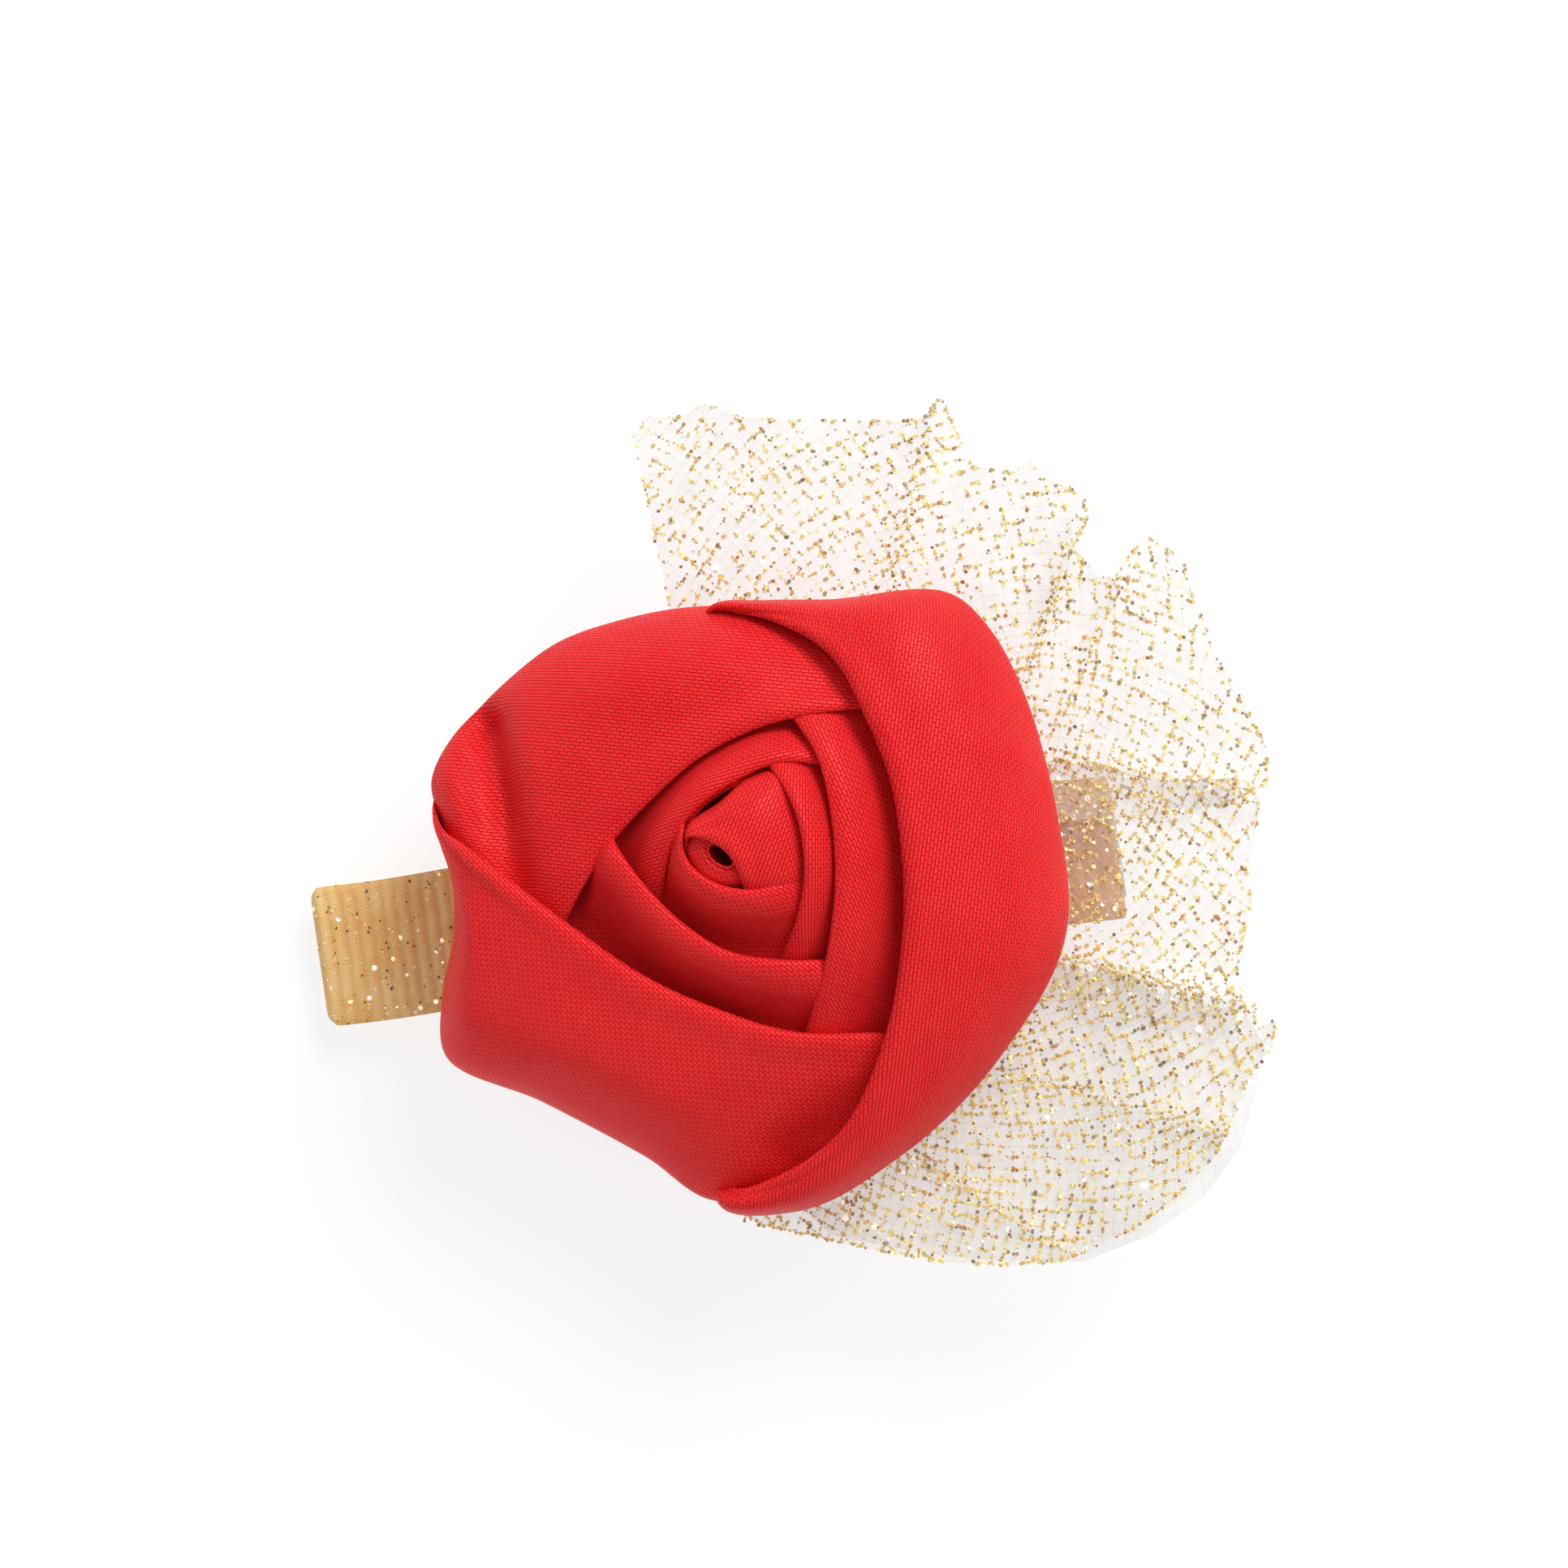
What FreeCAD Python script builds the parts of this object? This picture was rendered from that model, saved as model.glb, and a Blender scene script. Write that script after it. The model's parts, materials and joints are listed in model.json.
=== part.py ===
"""Flower hair clip: a folded satin rosette and gathered tulle on a ribbon-lined alligator clip.

Everything is drawn in the clip's own frame first, in millimetres: X runs along the clip with
the jaw tip at -X and the finger lever at +X, Y runs across it, and Z = 0 is the top face of
the upper steel arm. The last step lays the clip down as it lies on a table, on the jaw tip
and the end of the lever.
"""
import FreeCAD
import Part
import math
import os

# ---- driving dimensions, mm -------------------------------------------------------------
CLIP_LENGTH = 57.0        # the 2 1/4 in alligator clip
ARM_WIDTH = 8.0
STEEL = 0.7               # sheet thickness of the upper arm
LOWER_STEEL = 0.6

RIBBON_WIDTH = 10.0       # 3/8 in grosgrain
RIBBON = 0.4              # its thickness with the glitter on
TIP_TUCK = 30.0           # how far the ribbon runs back under the jaw tip
HANDLE_TUCK = 10.0        # how far it runs back under the handle end
FIT = 0.03                # gap left between pieces that are glued face to face

PIN_X = 10.5
PIN_Z = -2.3
PIN_RADIUS = 0.7
RUNNING_CLEARANCE = 0.05
EAR_LENGTH = 6.0
EAR_DROP = 4.2            # from the top face to the bottom of the ears
LOWER_EAR_RADIUS = 1.3

PRONG_WIDTH = 6.0              # also the width over the lower arm's ears
PRONG_TIP = (-27.5, -2.2)      # top face of the lower arm at the jaw tip
PRONG_HEEL = (8.0, -4.1)       # and where the prong reaches the hinge
LEVER_ROOT = (14.0, -4.3)
LEVER_LENGTH = 15.6
LEVER_ANGLE = 25.0             # how far the lever drops from the arm, degrees
TEETH = 8
TEETH_TOP = -1.35
TEETH_SPAN = 15.0

WIRE = 0.6                # spring wire diameter
COIL_RADIUS = 1.2         # mean
COIL_TURNS = 3.5          # the coil starts at its bottom and ends at its top
LEG_LENGTH = 6.2
LEG_BEND = 0.8            # how far before and after its corner the lower leg bends

GLUE = 0.5
FELT_RADIUS = 14.0
FELT = 1.0
TULLE = 0.4               # a gathered layer, pressed
LAYER_GAP = 0.1

ROSETTE_CENTRE = (4.0, 0.0)
BUD_CENTRE = (4.4, 3.2)
ROSETTE_RADIUS = 22.0
ROSETTE_HEIGHT = 13.6
FOLD_GAP_DEG = 0.7        # gap between neighbouring folds of a round
ROUND_GAP = 0.12          # gap between one round and the next

# ---- heights that follow from them ------------------------------------------------------
RIBBON_TOP = FIT + RIBBON
GLUE_BASE = RIBBON_TOP + FIT
FELT_BASE = GLUE_BASE + GLUE + FIT
TULLE_BASE = FELT_BASE + FELT + LAYER_GAP
ROSETTE_GLUE_BASE = TULLE_BASE + 3 * (TULLE + LAYER_GAP)
ROSETTE_BASE = ROSETTE_GLUE_BASE + GLUE + LAYER_GAP

V = FreeCAD.Vector
UP = V(0, 0, 1)
ACROSS = V(0, 1, 0)


def side_face(points):
    """Closed outline in the XZ plane, as a face at y = 0."""
    corners = [V(x, 0, z) for x, z in points]
    return Part.Face(Part.makePolygon(corners + corners[:1]))


def across(face, half_width):
    """A side face pushed out to both sides of y = 0."""
    solid = face.extrude(ACROSS * (2 * half_width))
    solid.translate(ACROSS * -half_width)
    return solid


def flat_bar(x_low, x_high, z_low, z_high, half_width):
    """A strip with half-round ends, seen from the side."""
    radius = (z_high - z_low) / 2
    middle = (z_high + z_low) / 2
    left = V(x_low + radius, 0, middle)
    right = V(x_high - radius, 0, middle)
    edges = [
        Part.makeLine(left + UP * radius, right + UP * radius),
        Part.Arc(right + UP * radius, right + V(radius, 0, 0), right - UP * radius).toShape(),
        Part.makeLine(right - UP * radius, left - UP * radius),
        Part.Arc(left - UP * radius, left - V(radius, 0, 0), left + UP * radius).toShape(),
    ]
    return across(Part.Face(Part.Wire(edges)), half_width)


def pin_hole(radius):
    """A long cylinder on the hinge axis, for cutting."""
    return Part.makeCylinder(radius, 20, V(PIN_X, -10, PIN_Z), ACROSS)


# ---- the steel clip ---------------------------------------------------------------------
def upper_arm():
    """The flat top arm, with two ears folded down to carry the pin."""
    half_length = CLIP_LENGTH / 2
    arm = flat_bar(-half_length, half_length, -STEEL, 0, ARM_WIDTH / 2)
    for side in (-1, 1):
        y_low = ARM_WIDTH / 2 - STEEL if side > 0 else -ARM_WIDTH / 2
        ear = Part.makeBox(EAR_LENGTH, STEEL, EAR_DROP - 0.2,
                           V(PIN_X - EAR_LENGTH / 2, y_low, -EAR_DROP))
        lower_edges = [e for e in ear.Edges
                       if abs(e.CenterOfMass.z + EAR_DROP) < 0.01
                       and abs(e.CenterOfMass.x - PIN_X) > 1]
        arm = arm.fuse(ear.makeFillet(1.5, lower_edges))
    return arm.cut(pin_hole(PIN_RADIUS + 0.02)).removeSplitter()


def lower_plate(points, half_width):
    """A bent plate whose top face follows the points."""
    below = [(x, z - LOWER_STEEL) for x, z in reversed(points)]
    return across(side_face(list(points) + below), half_width)


def lever_end():
    """Top face of the lever at its free end."""
    angle = math.radians(LEVER_ANGLE)
    return (LEVER_ROOT[0] + LEVER_LENGTH * math.cos(angle),
            LEVER_ROOT[1] - LEVER_LENGTH * math.sin(angle))


def tooth_strip():
    """One serrated edge of the prong, as a side face: the edges are folded up into teeth."""
    slope = (PRONG_HEEL[1] - PRONG_TIP[1]) / (PRONG_HEEL[0] - PRONG_TIP[0])
    pitch = TEETH_SPAN / TEETH
    start = PRONG_TIP[0] + 0.2
    outline = [(start, PRONG_TIP[1] - 0.3)]
    for tooth in range(TEETH):
        root = start + tooth * pitch
        outline.append((root, TEETH_TOP - 0.6))
        outline.append((root + pitch / 2, TEETH_TOP))
    end = start + TEETH_SPAN
    outline.append((end, TEETH_TOP - 0.6))
    outline.append((end + 2, PRONG_TIP[1] + slope * (end + 2 - PRONG_TIP[0]) - 0.3))
    return side_face(outline)


def lower_arm():
    """The toothed prong, the ears inside the upper ones, and the finger lever."""
    arm = lower_plate([PRONG_TIP, PRONG_HEEL, LEVER_ROOT], PRONG_WIDTH / 2)
    arm = arm.fuse(lower_plate([LEVER_ROOT, lever_end()], ARM_WIDTH / 2))
    for side in (-1, 1):
        outer = side * PRONG_WIDTH / 2
        strip = tooth_strip().extrude(ACROSS * (-side * LOWER_STEEL))
        strip.translate(ACROSS * outer)
        arm = arm.fuse(strip)
        ear = Part.makeCylinder(LOWER_EAR_RADIUS, LOWER_STEEL, V(PIN_X, 0, PIN_Z), ACROSS)
        web_base = LEVER_ROOT[1] - LOWER_STEEL / 2
        web = Part.makeBox(2 * LOWER_EAR_RADIUS, LOWER_STEEL, PIN_Z - web_base,
                           V(PIN_X - LOWER_EAR_RADIUS, 0, web_base))
        ear = ear.fuse(web)
        ear.translate(ACROSS * (outer - LOWER_STEEL if side > 0 else outer))
        arm = arm.fuse(ear)
    return arm.cut(pin_hole(PIN_RADIUS + RUNNING_CLEARANCE)).removeSplitter()


def hinge_pin():
    """The riveted pin: a shaft with a low head outside each upper ear."""
    shaft = Part.makeCylinder(PIN_RADIUS, ARM_WIDTH + 0.1,
                              V(PIN_X, -ARM_WIDTH / 2 - 0.05, PIN_Z), ACROSS)
    for side in (-1, 1):
        head = Part.makeCylinder(PIN_RADIUS + 0.5, 0.4,
                                 V(PIN_X, side * (ARM_WIDTH / 2 + 0.05), PIN_Z), ACROSS * side)
        shaft = shaft.fuse(head)
    return shaft.removeSplitter()


def torsion_spring():
    """One wire: the leg under the upper arm, the coil round the pin, the leg on the lever."""
    pitch = WIRE * 1.12
    length = pitch * COIL_TURNS
    helix = Part.makeHelix(pitch, length, COIL_RADIUS)
    helix.rotate(V(0, 0, 0), V(1, 0, 0), -90)
    helix.rotate(V(0, 0, 0), ACROSS, 90)
    helix.translate(V(PIN_X, -length / 2, PIN_Z))
    bottom = V(PIN_X, -length / 2, PIN_Z - COIL_RADIUS)
    top = V(PIN_X, length / 2, PIN_Z + COIL_RADIUS)
    lead = pitch / (2 * math.pi * COIL_RADIUS)
    drop = math.tan(math.radians(LEVER_ANGLE))

    bend = bottom + V(1, -lead, 0) * (LEVER_ROOT[0] - PIN_X)
    foot = bend + V(1, -lead, -drop) * (LEG_LENGTH / 2)
    before = bend + (bottom - bend).normalize() * LEG_BEND
    after = bend + (foot - bend).normalize() * LEG_BEND
    middle = bend + ((before + after) * 0.5 - bend) * 0.55
    path = [
        Part.makeLine(foot, after),
        Part.Arc(after, middle, before).toShape(),
        Part.makeLine(before, bottom),
        helix,
        Part.makeLine(top, top + V(1, lead, 0) * LEG_LENGTH),
    ]
    edges = [edge for run in path for edge in run.Edges]
    section = Part.Wire(Part.makeCircle(WIRE / 2, foot, after - foot))
    return Part.Wire(edges).makePipeShell([section], True, False)


# ---- ribbon, glue, felt and tulle -------------------------------------------------------
def arm_ribbon():
    """The grosgrain strip: over the top arm and tucked under both of its ends."""
    end = CLIP_LENGTH / 2
    skin = FIT + RIBBON
    outer = flat_bar(-end - skin, end + skin, -STEEL - skin, skin, RIBBON_WIDTH / 2)
    inner = flat_bar(-end - FIT, end + FIT, -STEEL - FIT, FIT, RIBBON_WIDTH)
    bare_start = -end + TIP_TUCK
    bare_end = end - HANDLE_TUCK
    bare = Part.makeBox(bare_end - bare_start, 2 * RIBBON_WIDTH, 2,
                        V(bare_start, -RIBBON_WIDTH, -STEEL / 2 - 2))
    return outer.cut(inner).cut(bare)


def glue_strip():
    """The run of hot glue that holds the felt to the ribbon."""
    strip = Part.makeBox(22, ARM_WIDTH, GLUE, V(ROSETTE_CENTRE[0] - 11, -ARM_WIDTH / 2, GLUE_BASE))
    return strip.makeFillet(2.0, [e for e in strip.Edges if abs(e.tangentAt(0).z) > 0.9])


def disc(radius, base, thickness):
    """A round pad under the rosette."""
    return Part.makeCylinder(radius, thickness, V(*ROSETTE_CENTRE, base))


def tulle_layer(rim, level):
    """A gathered layer: a flat fan from its gathering point under the rosette to the rim."""
    base = TULLE_BASE + level * (TULLE + LAYER_GAP)
    corners = [V(x, y, base) for x, y in rim]
    return Part.Face(Part.makePolygon(corners + corners[:1])).extrude(UP * TULLE)


TULLE_TOP_RIM = [(-2, 6), (0, 24), (0, 33), (5, 34.5), (15.5, 32), (21.5, 32.5), (23.5, 28),
                 (27, 27.5), (30.5, 24.5), (34.5, 20.5), (37, 16.5), (40.5, 5), (10, -2)]
TULLE_SIDE_RIM = [(4, 5), (38, 11), (40.5, 5), (39, 0), (37.5, -5), (36, -10), (36.5, -13), (4, -6)]
TULLE_BOTTOM_RIM = [(-3, -3), (16, 0), (36, -12), (38.5, -14), (34.5, -20), (33, -23),
                    (27, -27.5), (17.5, -27.8), (7, -25.5), (-1, -22)]


# ---- the rosette ------------------------------------------------------------------------
def turned(profile, centre, start_deg=0.0, sweep_deg=360.0):
    """A profile of (radius, height) points turned about a vertical axis through centre."""
    corners = [V(centre[0] + radius, centre[1], z) for radius, z in profile]
    face = Part.Face(Part.makePolygon(corners + corners[:1]))
    pivot = V(centre[0], centre[1], 0)
    solid = face.revolve(pivot, UP, sweep_deg)
    solid.rotate(pivot, UP, start_deg)
    return solid


def rosette_envelope():
    """The outer round's full outline: flat below, rounded at the rim, rising to the lip."""
    x, y = ROSETTE_CENTRE
    base = ROSETTE_BASE
    under = V(x + ROSETTE_RADIUS - 5, y, base)
    rim = V(x + ROSETTE_RADIUS, y, base + 4.2)
    shoulder = V(x + ROSETTE_RADIUS - 3.5, y, base + 8)
    crown = V(x, y, base + 11.8)
    edges = [
        Part.makeLine(V(x, y, base), under),
        Part.Arc(under, rim, shoulder).toShape(),
        Part.makeLine(shoulder, crown),
        Part.makeLine(crown, V(x, y, base)),
    ]
    return Part.Face(Part.Wire(edges)).revolve(V(x, y, 0), UP, 360)


def pie_slice(centre, start_deg, sweep_deg):
    """A tall pie slice about a vertical axis, for cutting a round into folds."""
    pivot = V(centre[0], centre[1], 0)
    piece = Part.makeCylinder(60, 40, pivot, UP, sweep_deg)
    piece.rotate(pivot, UP, start_deg)
    return piece


# The walls between rounds lean outwards: radius about the bud at the rosette's base and top.
WALLS = {"bud": (1.5, 2.7), "inner": (3.5, 6.0), "middle": (6.3, 10.2)}

# Heights above the base: the lip is a fold's inner edge, the edge is where its slope ends.
INNER_ROUND = {"inside": "bud", "outside": "inner", "lip": 12.6, "edge": 10.6}
MIDDLE_ROUND = {"inside": "inner", "outside": "middle", "lip": 11.6, "edge": 9.2}

# Where each fold of a round starts and how far it sweeps, in degrees about the bud.
OUTER_FOLDS = {"fold_outer_right": (-99, 187), "fold_outer_back": (88, 74),
               "fold_outer_front": (162, 99)}
MIDDLE_FOLDS = {"fold_middle_right": (-75, 135), "fold_middle_back": (60, 105),
                "fold_middle_front": (165, 120)}
INNER_FOLDS = {"fold_inner_right": (-70, 129), "fold_inner_back": (59, 89),
               "fold_inner_front": (148, 142)}


def wall_radius(wall, height):
    """Radius of a leaning wall at a height above the rosette's base."""
    base, top = WALLS[wall]
    return base + (top - base) * height / ROSETTE_HEIGHT


def nested_fold(shape, start_deg, sweep_deg):
    """One fold of the inner or middle round: a leaning wall, highest at its inner lip."""
    lip, edge = shape["lip"], shape["edge"]
    profile = [
        (wall_radius(shape["inside"], 0) + ROUND_GAP, ROSETTE_BASE),
        (wall_radius(shape["outside"], 0), ROSETTE_BASE),
        (wall_radius(shape["outside"], edge), ROSETTE_BASE + edge),
        (wall_radius(shape["inside"], lip) + ROUND_GAP, ROSETTE_BASE + lip),
    ]
    return turned(profile, BUD_CENTRE, start_deg + FOLD_GAP_DEG / 2, sweep_deg - FOLD_GAP_DEG)


def outer_fold(start_deg, sweep_deg):
    """One fold of the outer round: the envelope, less the well that the middle round fills."""
    low, high = -1.0, 20.0
    well = turned([
        (0, ROSETTE_BASE + low),
        (wall_radius("middle", low) + ROUND_GAP, ROSETTE_BASE + low),
        (wall_radius("middle", high) + ROUND_GAP, ROSETTE_BASE + high),
        (0, ROSETTE_BASE + high),
    ], BUD_CENTRE)
    slice_ = pie_slice(BUD_CENTRE, start_deg + FOLD_GAP_DEG / 2, sweep_deg - FOLD_GAP_DEG)
    return rosette_envelope().cut(well).common(slice_)


def rosette_bud():
    """The rolled centre, with the small well at its top."""
    top = ROSETTE_BASE + ROSETTE_HEIGHT
    base_radius, top_radius = WALLS["bud"]
    return turned([(0, ROSETTE_BASE), (base_radius, ROSETTE_BASE), (top_radius - 0.1, top - 0.8),
                   (top_radius - 0.7, top), (0.6, top), (0, top - 1.5)], BUD_CENTRE)


# ---- assembly ---------------------------------------------------------------------------
def pieces():
    """Every node by name, in the clip's own frame."""
    nodes = {
        "upper_arm": upper_arm(),
        "lower_arm": lower_arm(),
        "hinge_pin": hinge_pin(),
        "torsion_spring": torsion_spring(),
        "arm_ribbon": arm_ribbon(),
        "arm_glue": glue_strip(),
        "felt_disc": disc(FELT_RADIUS, FELT_BASE, FELT),
        "tulle_bottom": tulle_layer(TULLE_BOTTOM_RIM, 0),
        "tulle_side": tulle_layer(TULLE_SIDE_RIM, 1),
        "tulle_top": tulle_layer(TULLE_TOP_RIM, 2),
        "rosette_glue": disc(FELT_RADIUS - 2, ROSETTE_GLUE_BASE, GLUE),
        "rosette_bud": rosette_bud(),
    }
    for name, (start, sweep) in OUTER_FOLDS.items():
        nodes[name] = outer_fold(start, sweep)
    for shape, folds in ((MIDDLE_ROUND, MIDDLE_FOLDS), (INNER_ROUND, INNER_FOLDS)):
        for name, (start, sweep) in folds.items():
            nodes[name] = nested_fold(shape, start, sweep)
    return nodes


def lie_down(nodes):
    """Tip the clip on to its jaw tip and lever end, and centre its footprint on the origin."""
    tip_x, tip_z = PRONG_TIP
    end_x, end_z = lever_end()
    tilt = math.degrees(math.atan2(tip_z - end_z, end_x - tip_x))
    for shape in nodes.values():
        shape.rotate(V(0, 0, 0), ACROSS, -tilt)
    box = Part.makeCompound(list(nodes.values())).optimalBoundingBox()
    for shape in nodes.values():
        shape.translate(V(-(box.XMin + box.XMax) / 2, -(box.YMin + box.YMax) / 2, -box.ZMin))
    return tilt


nodes = pieces()
lie_down(nodes)
os.makedirs("parts", exist_ok=True)
for name, shape in nodes.items():
    shape.exportStep("parts/" + name + ".step")
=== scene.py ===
"""Looks for the flower hair clip: satin rosette, glitter tulle, lined alligator clip.

Shapes are drawn in the clip's own frame, in millimetres: X along the clip towards the finger
lever, Y across it, Z up from the top face of the upper steel arm. add_mesh lays them down in
the row frame, in metres, where the CAD model has the clip.
"""

import json
import math

import bpy
import numpy as np
from mathutils import Matrix, Vector


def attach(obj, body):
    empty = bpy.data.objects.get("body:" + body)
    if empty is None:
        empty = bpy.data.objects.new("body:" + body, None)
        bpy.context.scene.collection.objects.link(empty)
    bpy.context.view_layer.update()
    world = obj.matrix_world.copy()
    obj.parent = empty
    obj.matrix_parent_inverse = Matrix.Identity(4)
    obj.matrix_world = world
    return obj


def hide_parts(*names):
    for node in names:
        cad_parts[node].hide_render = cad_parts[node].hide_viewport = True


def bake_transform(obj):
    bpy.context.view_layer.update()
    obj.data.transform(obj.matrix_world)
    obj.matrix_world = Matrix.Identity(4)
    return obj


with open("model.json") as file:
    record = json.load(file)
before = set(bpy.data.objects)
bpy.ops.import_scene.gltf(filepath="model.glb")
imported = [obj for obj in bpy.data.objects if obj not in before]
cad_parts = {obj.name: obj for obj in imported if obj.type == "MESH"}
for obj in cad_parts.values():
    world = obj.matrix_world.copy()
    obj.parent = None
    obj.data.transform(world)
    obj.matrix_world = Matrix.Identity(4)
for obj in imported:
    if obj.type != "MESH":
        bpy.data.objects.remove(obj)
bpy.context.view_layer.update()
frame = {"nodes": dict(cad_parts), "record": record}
record = frame["record"]
MM = 0.001

CLIP_HALF = 28.5          # half the steel arm's length
STEEL = 0.7
RIBBON_HALF = 5.0
SATIN_THICK = 0.16
RIB_PITCH = 1.0
PIN = (10.5, -2.3)


# ---- the clip's own frame -----------------------------------------------------------------
def clip_frame():
    """Matrix from the clip's frame in millimetres to the row frame in metres."""
    grip = next(m for m in record["mounts"] if m["name"] == "jaw_grip")
    along = -Vector(grip["axis"])
    across = Vector((0, 1, 0))
    up = along.cross(across)
    origin = Vector(grip["pos_m"]) + (along * 26.0 + up * 1.24) * MM
    matrix = Matrix((along * MM, across * MM, up * MM)).transposed().to_4x4()
    matrix.translation = origin
    return matrix


CLIP = clip_frame()
CLIP_TURN = np.array(CLIP.to_3x3())
CLIP_ORIGIN = np.array(CLIP.translation)


def to_row(points):
    """Clip-frame millimetres to row-frame metres."""
    return np.asarray(points, float) @ CLIP_TURN.T + CLIP_ORIGIN


# ---- mesh helpers -------------------------------------------------------------------------
def add_mesh(name, points, faces, uv=None, edges=()):
    """A smooth-shaded object from clip-frame points; uv is one pair for each point, in mm."""
    mesh = bpy.data.meshes.new(name)
    mesh.from_pydata(to_row(points).tolist(), [tuple(e) for e in edges], [tuple(f) for f in faces])
    mesh.shade_smooth()
    if uv is not None:
        layer = mesh.uv_layers.new(name="Cloth")
        corners = np.empty(len(mesh.loops), dtype=np.int32)
        mesh.loops.foreach_get("vertex_index", corners)
        layer.data.foreach_set("uv", np.asarray(uv, float)[corners].ravel())
    obj = bpy.data.objects.new(name, mesh)
    bpy.context.collection.objects.link(obj)
    return obj


def grid_faces(rows, columns, closed=False, start=0):
    """Quads of a grid whose points are stored row by row."""
    faces = []
    wrap = columns if closed else columns - 1
    for r in range(rows - 1):
        for c in range(wrap):
            a = start + r * columns + c
            b = start + r * columns + (c + 1) % columns
            faces.append((a, b, b + columns, a + columns))
    return faces


def smooth_line(points, count):
    """A cubic through points[0], points[1] ..., sampled evenly along its mean chord length."""
    p = np.asarray(points, float)
    steps = np.linalg.norm(np.diff(p, axis=0), axis=-1).reshape(len(p) - 1, -1).mean(axis=1)
    knots = np.concatenate([[0.0], np.cumsum(np.maximum(steps, 1e-6))])
    slopes = np.gradient(p, knots, axis=0)
    where = np.linspace(0.0, knots[-1], count)
    k = np.clip(np.searchsorted(knots, where, side="right") - 1, 0, len(p) - 2)
    shape = (-1,) + (1,) * (p.ndim - 1)
    h = (knots[k + 1] - knots[k]).reshape(shape)
    t = ((where - knots[k])).reshape(shape) / h
    return ((2 * t**3 - 3 * t**2 + 1) * p[k] + (t**3 - 2 * t**2 + t) * h * slopes[k]
            + (3 * t**2 - 2 * t**3) * p[k + 1] + (t**3 - t**2) * h * slopes[k + 1])


def ripple(x, y, seed, scale):
    """Gentle repeatable unevenness between -1 and 1, from a few crossed waves."""
    rng = np.random.default_rng(seed)
    total = 0.0
    for _ in range(5):
        angle, phase = rng.uniform(0, 2 * math.pi, 2)
        size = scale * rng.uniform(0.6, 1.6)
        total = total + np.sin((x * math.cos(angle) + y * math.sin(angle)) / size + phase)
    return total / 5


def plain_mesh(obj):
    """Turns an object with Geometry Nodes on it into a plain mesh object."""
    evaluated = obj.evaluated_get(bpy.context.evaluated_depsgraph_get())
    mesh = bpy.data.meshes.new_from_object(evaluated)
    obj.modifiers.clear()
    old = obj.data
    obj.data = mesh
    bpy.data.meshes.remove(old)
    return obj


# ---- shader helpers -----------------------------------------------------------------------
class Shade:
    """A material or group under construction: add(), link() and set values by name."""

    def __init__(self, tree):
        self.tree = tree

    def add(self, kind, settings=None, **inputs):
        node = self.tree.nodes.new(kind)
        for key, value in (settings or {}).items():
            setattr(node, key, value)
        for key, value in inputs.items():
            self.put(node, key.replace("_", " "), value)
        return node

    def put(self, node, key, value):
        socket = next((s for s in node.inputs if s.name == key and s.enabled), None)
        if socket is None:
            socket = node.inputs[int(key)]
        if isinstance(value, bpy.types.NodeSocket):
            self.tree.links.new(value, socket)
        else:
            socket.default_value = value

    def math(self, operation, *values, clamp=False):
        node = self.add("ShaderNodeMath", {"operation": operation, "use_clamp": clamp})
        for index, value in enumerate(values):
            self.put(node, str(index), value)
        return node.outputs[0]

    def mix(self, fac, a, b):
        node = self.add("ShaderNodeMix", {"data_type": "RGBA"})
        self.put(node, "Factor", fac)
        self.put(node, "A", a)
        self.put(node, "B", b)
        return node.outputs["Result"]

    def ramp(self, fac, *stops, sharp=False):
        node = self.add("ShaderNodeValToRGB", Fac=fac)
        node.color_ramp.interpolation = "CONSTANT" if sharp else "LINEAR"
        while len(node.color_ramp.elements) < len(stops):
            node.color_ramp.elements.new(0.5)
        for element, (position, colour) in zip(node.color_ramp.elements, stops):
            element.position = position
            element.color = (*colour, 1.0) if len(colour) == 3 else colour
        return node.outputs["Color"]

    def use(self, group, **inputs):
        node = self.add(group.bl_idname.replace("Tree", "Group"), {"node_tree": group})
        for key, value in inputs.items():
            self.put(node, key.replace("_", " "), value)
        return node


def new_group(name, inputs, outputs):
    """A shader node group with named sockets; returns its Shade, its input and output nodes."""
    tree = bpy.data.node_groups.new(name, "ShaderNodeTree")
    for label, kind, value in inputs:
        socket = tree.interface.new_socket(label, in_out="INPUT", socket_type="NodeSocket" + kind)
        if value is not None:
            socket.default_value = value
    for label, kind in outputs:
        tree.interface.new_socket(label, in_out="OUTPUT", socket_type="NodeSocket" + kind)
    shade = Shade(tree)
    return shade, shade.add("NodeGroupInput").outputs, shade.add("NodeGroupOutput")


def mottle_group():
    """Soft patchy colour between two tones, and a matching roughness."""
    shade, given, out = new_group(
        "mottle",
        [("Vector", "Vector", None), ("Size", "Float", 200.0), ("Dark", "Color", (0.3, 0.3, 0.3, 1)),
         ("Light", "Color", (0.8, 0.8, 0.8, 1)), ("Rough", "Float", 0.5), ("Spread", "Float", 0.1)],
        [("Color", "Color"), ("Roughness", "Float")])
    noise = shade.add("ShaderNodeTexNoise", Vector=given["Vector"], Scale=given["Size"], Detail=3.0)
    fac = shade.ramp(noise.outputs["Fac"], (0.3, (0, 0, 0)), (0.7, (1, 1, 1)))
    shade.put(out, "Color", shade.mix(fac, given["Dark"], given["Light"]))
    swing = shade.math("MULTIPLY", shade.math("SUBTRACT", noise.outputs["Fac"], 0.5), given["Spread"])
    shade.put(out, "Roughness", shade.math("ADD", given["Rough"], swing, clamp=True))
    return shade.tree


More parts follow.
